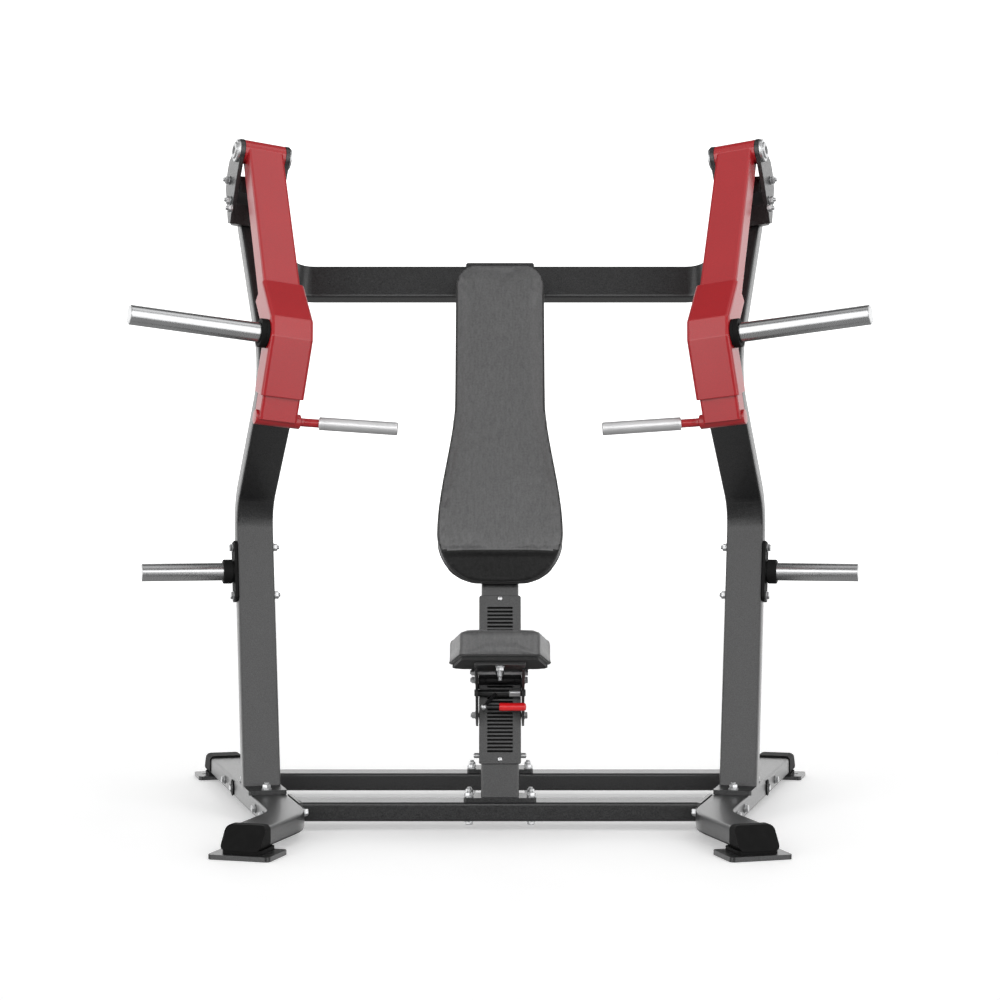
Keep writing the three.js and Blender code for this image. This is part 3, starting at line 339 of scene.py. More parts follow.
def add_bolt(shell, at, direction, size=12, head=True, stud=0.0, turn=0.0):
    """A bolt head or a nut on its washer; the stud is the threaded end beyond a nut."""
    direction = direction.normalized()
    thick = size * 0.2
    seat = thick + 0.3
    add_lathe(shell, [(0, 0.1), (size - 0.4, 0.1), (size, 0.5), (size, thick), (size - 0.4, seat), (0, seat)],
              at, direction, 32)
    height = size * (0.62 if head else 0.8)
    add_hex(shell, at + direction * seat * MM, direction, size * 1.55, height, turn)
    if stud:
        top = seat + height
        add_lathe(shell, thread(size / 2, top - 1, top + stud), at, direction, 24)


def thread(radius, start, end, pitch=1.75):
    profile = [(0, start), (radius, start)]
    level = start
    while level + pitch < end:
        profile += [(radius, level + 0.2 * pitch), (radius * 0.88, level + 0.6 * pitch),
                    (radius, level + pitch)]
        level += pitch
    return profile + [(radius * 0.9, end), (0, end)]


def finished(name, shell, surface, body, smooth=35.0, bevel=None, slot=None):
    """The bmesh as an object with its material, riding on a body."""
    bmesh.ops.recalc_face_normals(shell, faces=shell.faces)
    mesh = bpy.data.meshes.new(name)
    shell.to_mesh(mesh)
    shell.free()
    mesh.polygons.foreach_set("use_smooth", [True] * len(mesh.polygons))
    mesh.set_sharp_from_angle(angle=math.radians(smooth))
    mesh.materials.append(SURFACES[surface])
    piece = bpy.data.objects.new(name, mesh)
    SCENE.collection.objects.link(piece)
    if bevel:
        rounding = piece.modifiers.new("rounding", "BEVEL")
        rounding.width = bevel * MM
        rounding.segments = 3
        rounding.limit_method = "ANGLE"
        rounding.angle_limit = math.radians(40)
    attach(piece, body)
    return piece


def both_sides(name, build, surface, body, replaces=(), **options):
    """Builds a left piece and its mirror image; build fills a bmesh with left-side geometry."""
    for side in ("left", "right"):
        shell = bmesh.new()
        build(shell)
        if side == "right":
            for vert in shell.verts:
                vert.co.x = -vert.co.x
        rides_on = body if body == "frame" else f"{side}_arm"
        piece = finished(f"{side}_{name}", shell, surface, rides_on, **options)
        if replaces:
            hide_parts(*[f"{side}_{node}" for node in replaces])


def centre_piece(name, build, surface, body, replaces=(), **options):
    """Builds one piece on the machine's centre line."""
    shell = bmesh.new()
    build(shell)
    piece = finished(name, shell, surface, body, **options)
    if replaces:
        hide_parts(*replaces)


def arc(centre_r, centre_t, radius, start, end, steps):
    """Profile points of a rounded edge, angles in degrees from the radius direction."""
    points = []
    for i in range(steps + 1):
        angle = math.radians(start + (end - start) * i / steps)
        points.append((centre_r + radius * math.cos(angle), centre_t + radius * math.sin(angle)))
    return points


# ------------------------------------------------------------------ camera, light, floor
# the photo's field of view, distance and height, solved from its perspective
camera = bpy.data.cameras.new("camera")
camera.lens = 70.2
camera.sensor_width = 36
camera.clip_end = 60
camera_object = bpy.data.objects.new("camera", camera)
camera_object.location = (0, (-5445 + SHIFT) * MM, 0.868)
camera_object.rotation_euler = (math.radians(90), 0, 0)
SCENE.collection.objects.link(camera_object)
SCENE.camera = camera_object

world = bpy.data.worlds.new("studio")
world.use_nodes = True
sky = world.node_tree
sky_coords = sky.nodes.new("ShaderNodeTexCoord").outputs["Generated"]
toward = node_of(sky, "ShaderNodeSeparateXYZ", Vector=sky_coords)
toward_x, toward_y, toward_z = (toward.outputs[axis] for axis in "XYZ")


def fade(value, start, end):
    """0 before start and 1 after end, with soft ends."""
    made = node_of(sky, "ShaderNodeMapRange", **{"Value": value, "From Min": start, "From Max": end})
    made.interpolation_type = "SMOOTHSTEP"
    return made.outputs["Result"]


def softbox(brightness, *limits):
    """A soft panel of light: the product of its faded limits."""
    lit = limits[0]
    for limit in limits[1:]:
        lit = math_of(sky, "MULTIPLY", lit, limit)
    return math_of(sky, "MULTIPLY", lit, brightness)


sideways = math_of(sky, "ABSOLUTE", toward_x)
boxes = [
    # the front-up and side panels
    softbox(3.1, fade(toward_z, 0.04, 0.14), fade(toward_z, 0.50, 0.36), fade(toward_y, -0.45, -0.70)),
    softbox(2.6, fade(sideways, 0.36, 0.50), fade(toward_y, -0.30, -0.50), fade(toward_z, -0.45, -0.30),
            fade(toward_z, 0.78, 0.62)),
    # overhead: a stronger one on the right, and a weaker one over the whole front half
    softbox(1.6, fade(toward_x, 0.12, 0.34), fade(toward_z, 0.72, 0.86), fade(toward_y, 0.28, 0.10)),
    softbox(0.9, fade(toward_z, 0.70, 0.95), fade(toward_y, 0.25, 0.05)),
    # behind, and from below
    softbox(1.6, fade(toward_y, -0.15, 0.20), fade(toward_z, -0.30, -0.12), fade(toward_z, 0.60, 0.40)),
    softbox(0.42, fade(toward_z, -0.25, -0.55)),
]
studio_light = softbox(0.12, fade(toward_z, -1.4, 0.4))
for box in boxes:
    studio_light = math_of(sky, "MAXIMUM", studio_light, box)
seen = sky.nodes.new("ShaderNodeLightPath").outputs["Is Camera Ray"]
backdrop = sky.nodes["Background"]
backdrop.inputs["Color"].default_value = (1, 1, 1, 1)
sky.links.new(math_of(sky, "MAXIMUM", studio_light, seen), backdrop.inputs["Strength"])
SCENE.world = world
SCENE.view_settings.view_transform = "Standard"

floor_shell = bmesh.new()
bmesh.ops.create_grid(floor_shell, x_segments=4, y_segments=4, size=12)
floor_mesh = bpy.data.meshes.new("studio_floor")
floor_shell.to_mesh(floor_mesh)
floor_shell.free()
floor_surface, floor_tree, floor_shader, floor_coords = new_surface("pale_floor", Roughness=0.7)
floor_tone = remap(floor_tree, noise_of(floor_tree, floor_coords, 5), 0, 1)
floor_tree.links.new(mix_of(floor_tree, floor_tone, (0.90, 0.90, 0.90), (0.93, 0.93, 0.93)),
                     floor_shader.inputs["Base Color"])
floor_shader.inputs["Emission Color"].default_value = (1, 1, 1, 1)
floor_shader.inputs["Emission Strength"].default_value = 0.30
floor_mesh.materials.append(floor_surface)
floor = bpy.data.objects.new("studio_floor", floor_mesh)
floor.location.z = -0.0005
floor.visible_diffuse = False
floor.visible_glossy = False
SCENE.collection.objects.link(floor)

# ------------------------------------------------------------------ CAD nodes that stay
SLOT_OF = {row["node"]: row["material_slot"] for row in frame["record"]["subparts"]}
CRISP = {"arm_elbow", "press_arm"}          # their mitres turn too little for the usual angle limit
ROUNDING_MM = {"front_foot": 4.0, "rear_foot": 4.0, "back_pad_board": 2.0, "seat_board": 1.5, "stop_pad": 3.0,
               "seat_rack": 0.8, "base_rail": 2.2, "upright": 2.2, "press_arm": 2.0, "arm_elbow": 2.5,
               "upper_crossbar": 2.2}
for node_name, node in NODES.items():
    node.data.materials.clear()
    node.data.materials.append(SURFACES[SLOT_OF[node_name]])
    node.data.polygons.foreach_set("use_smooth", [True] * len(node.data.polygons))
    plain = node_name.removeprefix("left_").removeprefix("right_")
    weld = node.modifiers.new("weld", "WELD")
    weld.merge_threshold = 0.00002
    rounding = node.modifiers.new("rounding", "BEVEL")
    rounding.width = ROUNDING_MM.get(plain, 1.2) * MM
    rounding.segments = 3
    rounding.limit_method = "ANGLE"
    rounding.angle_limit = math.radians(9 if plain in CRISP else 34)
    rounding.use_clamp_overlap = True
    weighted = node.modifiers.new("weighted", "WEIGHTED_NORMAL")
    weighted.mode = "FACE_AREA"
    weighted.weight = 80


# ------------------------------------------------------------------ round metalwork
PEG_RADIUS = 25
WEIGHT_PEG_START, WEIGHT_PEG_LONG = ELBOW_SIDE + 20.3, 332      # from the pivot plane, beyond the collar
STORE_PEG_START, STORE_PEG_LONG = 38.3, 224                     # from the upright, beyond the collar


def peg_profile(start, length):
    end, radius = start + length, PEG_RADIUS
    profile = [(0, start), (radius, start), (radius, end - 2)]
    profile += arc(radius - 2, end - 2, 2, 0, 90, 4)
    return profile + [(radius - 5, end), (radius - 5.6, end - 0.8), (radius - 6.2, end), (0, end)]


def weight_peg(shell):
    add_lathe(shell, peg_profile(WEIGHT_PEG_START, WEIGHT_PEG_LONG), PEG_ROOT, AXIS, 96)


def weight_collar(shell):
    side, radius = ELBOW_SIDE, 37
    profile = [(0, side), (radius - 1.5, side)] + arc(radius - 1.5, side + 1.5, 1.5, -90, 0, 3)
    profile += [(radius, side + 8), (radius - 0.8, side + 8.8), (radius, side + 9.6)]
    profile += arc(radius - 2, side + 17.7, 2, 0, 90, 4)
    add_lathe(shell, profile + [(28, side + 19.7), (27, side + 18.8), (0, side + 18.8)], PEG_ROOT, AXIS, 72)


both_sides("weight_peg_tube", weight_peg, "chrome", "arm", ["weight_peg"])
both_sides("weight_peg_stop", weight_collar, "black_rubber", "arm", ["weight_peg_collar"])

STORE_HEIGHT = 668
STORE_BACK = (UPRIGHT_RUN * (STORE_HEIGHT - 60) / UPRIGHT_RISE
              + 25 / math.cos(math.atan2(UPRIGHT_RUN, UPRIGHT_RISE)))
STORE_AT = UPRIGHT_FOOT + (BACKWARD * STORE_BACK + Z_AXIS * STORE_HEIGHT + REAR_OUT * 52.3) * MM


def storage_peg(shell):
    add_lathe(shell, peg_profile(STORE_PEG_START, STORE_PEG_LONG), STORE_AT, REAR_OUT, 96)


def storage_mount(shell):
    """The peg's collar on its plate with cut corners."""
    profile = [(0, 7), (30, 7), (30, 12), (34, 14), (34, 33)] + arc(31, 34.5, 3, 0, 90, 4)
    add_lathe(shell, profile + [(27.5, 37.5), (26.5, 36.5), (0, 36.5)], STORE_AT, REAR_OUT, 72)
    along = REAR_OUT.cross(UPRIGHT_LEAN).normalized()
    wide, high, thick, cut_off = 30, 84, 8, 9
    half = [(wide, -high + cut_off), (wide, high - cut_off), (wide - cut_off, high), (-wide + cut_off, high)]
    outline = half + [(-a, -b) for a, b in half]
    add_skin(shell, [[shell.verts.new(STORE_AT + (along * a + UPRIGHT_LEAN * b + REAR_OUT * level) * MM)
                      for a, b in outline] for level in (0.0, thick)])


both_sides("storage_peg_tube", storage_peg, "chrome", "frame", ["storage_peg"])
both_sides("storage_peg_mount", storage_mount, "black_rubber", "frame", ["storage_mount"], bevel=1.0)


def hand_grip(shell):
    radius, start, end = 17, 40, 243
    profile = [(11.6, start + 1), (radius - 1.5, start)] + arc(radius - 1.5, start + 1.5, 1.5, -90, 0, 3)
    for ring in range(3):
        level = start + 8 + 5 * ring
        profile += [(radius, level), (radius - 0.5, level + 0.5), (radius, level + 1)]
    profile += [(radius, end - 26), (radius - 0.4, end - 25.5), (radius, end - 25)]
    profile += arc(radius - 4, end - 4, 4, 0, 80, 6) + [(6, end - 0.2), (5, end - 1.6), (0, end - 1.6)]
    add_lathe(shell, profile, ROD_CORNER, GRIP_DIRECTION, 72)


both_sides("grip_sleeve", hand_grip, "grip_metal", "arm", ["hand_grip"])


def sweep(shell, points, radius, segments=32):
    """A round bar along a list of points."""
    rings = []
    across = (points[1] - points[0]).cross(points[-1] - points[-2])
    across = across.normalized() if across.length > 1e-9 else axes_along(points[1] - points[0])[0]
    for i, at in enumerate(points):
        before, after = points[max(i - 1, 0)], points[min(i + 1, len(points) - 1)]
        side = across.cross((after - before).normalized()).normalized()
        rings.append([shell.verts.new(at + spoke(side, across, 2 * math.pi * k / segments) * radius * MM)
                      for k in range(segments)])
    add_skin(shell, rings)


def rounded_route(corners, radius, steps=8):
    """Straight runs with one circular bend at each inner corner."""
    bend = radius * MM
    route = [corners[0]]
    for before, corner, after in zip(corners, corners[1:], corners[2:]):
        into, out = (corner - before).normalized(), (after - corner).normalized()
        turn = into.angle(out)
        start = corner - into * bend * math.tan(turn / 2)
        inward = (out - into * into.dot(out)).normalized()
        for i in range(steps + 1):
            angle = turn * i / steps
            route.append(start + into * bend * math.sin(angle) + inward * bend * (1 - math.cos(angle)))
    return route + [corners[-1]]


def handle_bar(shell):
    """The cross tube through the arm's end, the bent rod that carries the grip, and the tube's end plug."""
    profile = [(0, -64), (17.5, -64)] + arc(17.5, -62.5, 1.5, -90, 0, 3) + arc(17.5, 54.5, 1.5, 0, 90, 3)
    add_lathe(shell, profile + [(0, 56)], CARRIER_POINT, AXIS, 64)
    start = CARRIER_POINT - AXIS * 55 * MM
    sweep(shell, rounded_route([start, ROD_CORNER, ROD_CORNER + GRIP_DIRECTION * 222 * MM], 25), 11)
    add_lathe(shell, [(0, 62), (16, 62), (14.4, 65.5), (11.5, 67), (0, 67)], CARRIER_POINT, -AXIS, 48)


both_sides("handle_rod", handle_bar, "red_paint", "arm", ["handle_bar"])


def pivot_pin(shell):
    """The pivot's shaft, with a hub cap on the outer side and a plain cap on the inner side."""
    face = 70.3
    foot = [(0, face - 1), (20, face - 1), (20, face), (31, face)]
    top = face + 8
    hub = foot + [(31, face + 4.5)] + arc(27.5, face + 4.5, 3.5, 0, 90, 5)
    hub += [(24, top), (23, top - 0.8), (22, top), (21, top + 4), (10, top + 5), (9, top + 3.6),
            (0, top + 3.6)]
    add_lathe(shell, hub, PIVOT, AXIS, 72)
    top = face + 6
    plain_cap = foot + arc(28, face + 3, 3, 0, 90, 4) + [(24, top), (23, top - 0.7), (22, top), (0, top)]
    add_lathe(shell, plain_cap, PIVOT, -AXIS, 72)
    add_lathe(shell, [(0, -71), (20, -71), (20, 71), (0, 71)], PIVOT, AXIS, 48)


both_sides("pivot_pin", pivot_pin, "zinc_steel", "frame", ["pivot_shaft"])


def pivot_socket_shade(shell):
    """A thin black hexagon in the middle of the pivot's cap: painted shade for the dark of its hex socket."""
    add_hex(shell, PIVOT + AXIS * 83.4 * MM, AXIS, 21, 0.6, 12)


# painted shade: a black hexagon stands in for the shaded hex socket recess
both_sides("pivot_socket_shade", pivot_socket_shade, "black_plastic", "frame")


def barrel_rings(shell):
    """Black bearing seals between the barrel's ends and the fork plates."""
    for sign in (1, -1):
        add_lathe(shell, [(21.5, 57.05), (30.5, 57.05), (30.5, 57.9), (21.5, 57.9), (21.5, 57.05)],
                  PIVOT, AXIS * sign, 48)


both_sides("barrel_seals", barrel_rings, "black_plastic", "frame")


# ------------------------------------------------------------------ bolts of the frame
def yoke_bolts(shell):
    for f, u, turn in ((-64.7, -72.3, 5), (-31.7, -133.1, 21), (-6, -160, 40)):
        add_bolt(shell, swing(f, u, 70), AXIS, 12, head=False, stud=6, turn=turn)
        if f > -50:
            add_bolt(shell, swing(f, u, -70), -AXIS, 12, turn=turn + 9)


both_sides("yoke_bolts", yoke_bolts, "zinc_steel", "frame")


def storage_bolts(shell):
    for along in (-67.5, 67.5):
        at = STORE_AT + UPRIGHT_LEAN * along * MM
        add_bolt(shell, at + REAR_OUT * 8 * MM, REAR_OUT, 12, turn=along)
        add_bolt(shell, at - REAR_OUT * 104.6 * MM, -REAR_OUT, 12, head=False, stud=5, turn=17)


both_sides("storage_bolts", storage_bolts, "zinc_steel", "frame")


RAIL_BOLT_DEPTHS = (-354, -235, 146, 304)
WASHER_DEPTH = 146                          # the bolt that has a rubber washer
RAIL_BOLT_HEIGHT = 48
RAIL_STAGGER = 14                           # how far a bolt's ends are from its depth, as the rail is turned


def rail_bolt_end(y, side=1):
    """The outer (1) or inner (-1) end of a bolt through a rail's rear leg, at a depth along Y."""
    run = ((y + SHIFT - RAIL_STAGGER * side) * MM - BEND_POINT.y) / BACKWARD.y
    across = RAIL_HALF_WIDTH * side
    return BEND_POINT + BACKWARD * run + (REAR_OUT * across + Z_AXIS * RAIL_BOLT_HEIGHT) * MM


def rail_bolts(shell):
    for y in RAIL_BOLT_DEPTHS:
        add_bolt(shell, rail_bolt_end(y), REAR_OUT, 12, turn=y)
        inner = rail_bolt_end(y, -1) - REAR_OUT * 10.5 * MM
        add_bolt(shell, inner, -REAR_OUT, 13.5, head=False, stud=6, turn=11)


both_sides("rail_bolts", rail_bolts, "zinc_steel", "frame")


def rail_disc(shell):
    at = rail_bolt_end(WASHER_DEPTH) + REAR_OUT * 0.3 * MM
    add_lathe(shell, [(13, 0), (23, 0), (23, 2.4), (22, 3.2), (13, 3.2), (13, 0)], at, REAR_OUT, 48)


both_sides("rail_washer", rail_disc, "black_rubber", "frame")


def upright_bolts(shell):
    """The upright's base flange: one bolt ahead of the tube and a pair behind it."""
    for across, along in ((0, -64), (34, 104), (-34, 104)):
        at = UPRIGHT_FOOT - REAR_OUT * across * MM + BACKWARD * along * MM + Z_AXIS * FLANGE_TOP * MM
        add_bolt(shell, at, Z_AXIS, 13.5, head=False, stud=5, turn=across + 13)


both_sides("upright_bolts", upright_bolts, "zinc_steel", "frame")


def post_bolts(shell):
    """Bolts through the flanges of the post and of the rear brace, and through the crossbars below."""
    for bar_y in CROSSBAR_DEPTHS:
        for x in (-82, 82):
            for dy in (-30, 30):
                y = bar_y + SHIFT + dy
                add_bolt(shell, Vector((x, y, FLANGE_TOP)) * MM, Z_AXIS, 12, head=False, stud=5, turn=x + dy)
                add_bolt(shell, Vector((x, y, CROSSBAR_BOTTOM)) * MM, -Z_AXIS, 12, turn=x)


centre_piece("post_bolts", post_bolts, "zinc_steel", "frame")


def rack_screws(shell):
    for z in (603, 183):
        at = post_face(z) + POST_FRONT * 9.3 * MM
        add_lathe(shell, [(0, 0), (6.8, 0), (6.8, 1.2), (5.4, 3.2), (3.1, 3.8), (2.8, 1.2), (0, 1.2)], at,
                  POST_FRONT, 40)


centre_piece("rack_screws", rack_screws, "zinc_steel", "frame")


def stop_pin(shell):
    at = post_face(190) + Vector((0, 22, 0)) * MM
    for sign in (1, -1):
        sleeve = [(0, 50.4), (7, 50.4), (7, 67.8), (6.2, 68.6), (5, 68.6), (4.6, 70), (0, 70)]
        add_lathe(shell, sleeve, at, X_AXIS * sign, 40)
    add_lathe(shell, [(0, -52), (5, -52), (5, 52), (0, 52)], at, X_AXIS, 40)


centre_piece("seat_stop_rod", stop_pin, "zinc_steel", "frame", ["seat_stop_pin"])


def bracket_bolts(shell):
    """Bolts through the crossbar's bracket, seen from behind the backrest."""
    for x in (-78, 78):
        for up in (-30, 30):
            at = UPPER_BAR + RECLINE_UP * up * MM - RECLINE_FRONT * 25 * MM + X_AXIS * x * MM
            add_bolt(shell, at, -RECLINE_FRONT, 10, turn=x + up)


centre_piece("bracket_bolts", bracket_bolts, "zinc_steel", "frame")

# ------------------------------------------------------------------ seat carriage
CARRIAGE_SIDE = 64.4                        # just outside the side plates' washers
FRONT_ROLLER_AT = post_face(388) + POST_FRONT * 22.3 * MM
REAR_ROLLER_AT = post_face(301) - POST_FRONT * 63 * MM


def roller(shell, at):
    """A guide roller with a shallow groove on each half."""
    for sign in (1, -1):
        side = [(6, 56.8), (10.5, 56.8)] + arc(11, 55.3, 1.5, 60, 0, 3)
        side += [(12.5, 40), (11.3, 38.5), (12.5, 37), (12.5, 0)]
        add_lathe(shell, side, at, X_AXIS * sign, 48)


def carriage_bolt(shell, at):
    """The head and the nut of a bolt through both side plates."""
    add_bolt(shell, at + X_AXIS * CARRIAGE_SIDE * MM, X_AXIS, 11)
    add_bolt(shell, at - X_AXIS * CARRIAGE_SIDE * MM, -X_AXIS, 11, head=False, stud=3, turn=8)


def axle(shell, at):
    add_lathe(shell, [(0, -66), (6, -66), (6, 66), (0, 66)], at, X_AXIS, 32)
    carriage_bolt(shell, at)


for where, roller_at in (("front", FRONT_ROLLER_AT), ("rear", REAR_ROLLER_AT)):
    roller_node = f"{where}_guide_roller"
    centre_piece(roller_node + "_wheel", partial(roller, at=roller_at), "black_plastic", f"{where}_roller",
                 [roller_node])
    centre_piece(roller_node + "_axle", partial(axle, at=roller_at), "zinc_steel", f"{where}_roller")


def carriage_tie(shell):
    """The carriage's upper tie rod with its bolt, above the front roller."""
    at = Vector((0, -300, 415)) * MM
    carriage_bolt(shell, at)
    add_lathe(shell, [(0, -57.5), (8, -57.5), (8, 57.5), (0, 57.5)], at, X_AXIS, 32)


centre_piece("carriage_tie", carriage_tie, "zinc_steel", "seat")


def slot_shadow_sheet(shell):
    """A thin dark sheet between the post and the rack, seen through the slots: painted shadow for the shade
    inside them.
    """
    low, high = post_face(176), post_face(606)
    corners = ((low, -35), (low, 35), (high, 35), (high, -35))
    add_skin(shell, [[shell.verts.new(at + X_AXIS * x * MM + POST_FRONT * depth * MM) for at, x in corners]
                     for depth in (0.06, 0.24)])


# painted shadow: a dark sheet where the slots would only be in shade
centre_piece("rack_slot_shadow", slot_shadow_sheet, "black_rubber", "frame")

LATCH_AT = post_face(353) + POST_FRONT * 43.3 * MM
LEVER_END = LATCH_AT + Vector((-42, -66, -30)) * MM


def latch(shell):
    """The latch's shaft, its cranked lever with the straight handle, and the pawl toward the rack."""
    add_lathe(shell, [(0, -67.5)] + arc(8, -66.5, 1, -90, 0, 3) + arc(8, 66.5, 1, 0, 90, 3) + [(0, 67.5)],
              LATCH_AT, X_AXIS, 48)
    start = LATCH_AT + Vector((-8, 0, 0)) * MM
    sweep(shell, [start, start.lerp(LEVER_END, 0.5), LEVER_END], 4.5)
    add_lathe(shell, [(0, 0), (4.5, 0), (4.5, 107), (0, 107)], LEVER_END, X_AXIS, 32)
    add_skin(shell, [[shell.verts.new(LATCH_AT + (X_AXIS * a + POST_UP * b * half - POST_FRONT * level) * MM)
                      for a, b in ((-30, -1), (30, -1), (30, 1), (-30, 1))]
                     for level, half in ((4, 3.5), (26, 3.5), (32.6, 1.2))])


def latch_fittings(shell):
    """The plated bushing on the shaft and the knuckle where the lever meets its handle."""
    add_lathe(shell, [(9.1, 24), (10.8, 24), (11.5, 24.8), (11.5, 53.2), (10.8, 54), (9.1, 54), (9.1, 24)],
              LATCH_AT, X_AXIS, 48)
    add_lathe(shell, [(0, -8)] + arc(0, 0, 8, -80, 80, 10) + [(0, 8)], LEVER_END, X_AXIS, 32)


def lever_grip(shell):
    profile = [(4.7, 40), (8.5, 40)] + arc(8.5, 42, 2, -90, 0, 3)
    profile += [(10.5, 60), (10.0, 66), (10.5, 72), (10.0, 78), (10.5, 84), (10.5, 100)]
    profile += arc(4.5, 104, 6, 0, 90, 6)[1:]
    add_lathe(shell, [(4.7, 41)] + profile[1:] + [(0, 110.6)], LEVER_END, X_AXIS, 48)


centre_piece("latch_lever", latch, "frame_paint", "latch", ["seat_latch"])
centre_piece("latch_fittings", latch_fittings, "zinc_steel", "latch")
centre_piece("latch_lever_grip", lever_grip, "red_plastic", "latch", ["latch_grip"])


def seat_bolts(shell):
    under = SEAT_FRONT - SEAT_UP * 71.6 * MM
    for back in (95, 250):
        add_bolt(shell, under + SEAT_BACK * back * MM - SEAT_UP * 8.2 * MM, -SEAT_UP, 12, head=False, stud=14,
                 turn=30 + back)


centre_piece("seat_bolts", seat_bolts, "zinc_steel", "seat")


def carriage_washers(shell):
    """Thin washers outside the carriage's side plates, around the rollers' axles."""
    washer = [(6.6, 63.9), (11, 63.9), (11, 64.3), (6.6, 64.3), (6.6, 63.9)]
    for sign in (1, -1):
        for at in (FRONT_ROLLER_AT, REAR_ROLLER_AT):
            add_lathe(shell, washer, at, X_AXIS * sign, 32)


centre_piece("carriage_washers", carriage_washers, "black_plastic", "seat")


# ------------------------------------------------------------------ upholstery
BACK_TOP = 1511
BACK_LONG = 908
BACK_THICK = 62
BACK_BEVEL = 78                             # length of the lower end that slopes back
BACK_DROP = BACK_THICK - 20                 # how far it slopes back
BEVEL_TOP = -BACK_LONG / 2 + BACK_BEVEL     # where the slope starts, from the pad's middle
SEAT_LONG = 337
SEAT_THICK = 62
FOAM_MARGIN = 2                             # thickness left for the cover and its inflation
CLOTH_FRAMES = 20


def bezier(points, steps):
    """Points along a line, quadratic or cubic Bezier curve, without its first one."""
    made = []
    for i in range(1, steps + 1):
        t = i / steps
        work = [Vector(p) for p in points]
        while len(work) > 1:
            work = [a.lerp(b, t) for a, b in zip(work, work[1:])]
        made.append(work[0])
    return made


def traced(start, curves, steps=14):
    """A closed outline: straight or curved runs, each from the end of the one before."""
    outline = [Vector(start)]
    for curve in curves:
        outline += bezier([outline[-1]] + [Vector(p) for p in curve], steps)
    return outline[:-1] if (outline[-1] - outline[0]).length < 1e-6 else outline


def back_outline(inset):
    """The back pad from the front, starting at its lower end and going round by the right."""
    t, b, half = 123 - inset, 169 - inset, BACK_LONG / 2 - inset
    curves = [[(b * 0.68, -half + 10), (b * 0.95, -half + 50), (b, -half + 125)],
              [(b, -half + 260), (t, -half + 400), (t, half - 400)], [(t, half - 72)],
              [(t, half - 24), (t * 0.78, half), (t * 0.5, half)], [(-t * 0.5, half)],
              [(-t * 0.78, half), (-t, half - 24), (-t, half - 72)], [(-t, half - 400)],
              [(-t, -half + 400), (-b, -half + 260), (-b, -half + 125)],
              [(-b * 0.95, -half + 50), (-b * 0.68, -half + 10), (-b * 0.4, -half + 3)],
              [(0, -half - 3), (b * 0.4, -half + 3)]]
    return traced((b * 0.4, -half + 3), curves)


def seat_outline(inset):
    """The seat pad from above, starting at its front left corner."""
    f, w, long = 89 - inset * 0.6, 131.5 - inset, SEAT_LONG - inset
    curves = [[(0, inset - 12), (f, inset)], [(f + 8, inset + 2), (f + 12, inset + 12)], [(w - 4, 242)],
              [(w, 250), (w, 260)], [(w, long - 60)], [(w, long), (w - 60, long)], [(-w + 60, long)],
              [(-w, long), (-w, long - 60)], [(-w, 260)], [(-w, 250), (-w + 4, 242)], [(-f - 12, inset + 12)],
              [(-f - 8, inset + 2), (-f, inset)]]
    return traced((-f, inset), curves)


def pad_blank(name, outline, thick, bevel=None):
    """The cut block of foam before it is covered: a closed prism with an optional sloped end."""
    shell = bmesh.new()
    add_skin(shell, [[shell.verts.new((p.x * MM, p.y * MM, level * MM)) for p in outline]
                     for level in (0, thick)])
    if bevel:
        point, normal = bevel
        cut = bmesh.ops.bisect_plane(shell, geom=shell.verts[:] + shell.edges[:] + shell.faces[:],
                                     plane_co=Vector(point) * MM, plane_no=Vector(normal), clear_outer=True)
        edges = [e for e in cut["geom_cut"] if isinstance(e, bmesh.types.BMEdge)]
        bmesh.ops.holes_fill(shell, edges=edges, sides=0)
    bmesh.ops.recalc_face_normals(shell, faces=shell.faces)
    mesh = bpy.data.meshes.new(name)
    shell.to_mesh(mesh)
    shell.free()
    piece = bpy.data.objects.new(name, mesh)
    SCENE.collection.objects.link(piece)
    return piece


def evaluated_copy(piece):
    """Applies the piece's modifiers to its mesh."""
    graph = bpy.context.evaluated_depsgraph_get()
    mesh = bpy.data.meshes.new_from_object(piece.evaluated_get(graph))
    piece.modifiers.clear()
    old = piece.data
    piece.data = mesh
    bpy.data.meshes.remove(old)


def inflate(piece, voxel, cap=6.5, pressure=9.0, sink=2.0):
    """Covers the foam: remesh, a short cloth run under pressure, and movement held to the caps."""
    remesh = piece.modifiers.new("remesh", "REMESH")
    remesh.mode = "VOXEL"
    remesh.voxel_size = voxel * MM
    evaluated_copy(piece)
    start = [(v.co.copy(), v.normal.copy()) for v in piece.data.vertices]
    smooth = piece.modifiers.new("round", "SMOOTH")
    smooth.iterations = 2
    smooth.factor = 0.5
    evaluated_copy(piece)
    fixed = piece.vertex_groups.new(name="held")
    fixed.add([v.index for v in piece.data.vertices if v.co.z < 3 * MM], 1.0, "REPLACE")
    cloth = piece.modifiers.new("cloth", "CLOTH")
    settings = cloth.settings
    settings.quality = 4
    settings.mass = 0.25
    settings.tension_stiffness = 22
    settings.compression_stiffness = 22
    settings.shear_stiffness = 8
    settings.bending_stiffness = 1.5
    settings.use_pressure = True
    settings.uniform_pressure_force = pressure
    settings.effector_weights.gravity = 0
    settings.vertex_group_mass = "held"
    cloth.collision_settings.use_collision = False
    for number in range(CLOTH_FRAMES):
        SCENE.frame_set(number + 1)
    evaluated_copy(piece)
    SCENE.frame_set(1)
    for vertex, (before, normal) in zip(piece.data.vertices, start):
        inward = -(vertex.co - before).dot(normal)
        if inward > sink * MM:
            vertex.co += normal * (inward - sink * MM)
        moved = vertex.co - before
        if moved.length > cap * MM:
            vertex.co = before + moved.normalized() * cap * MM
        vertex.co.z = max(vertex.co.z, 0.2 * MM)


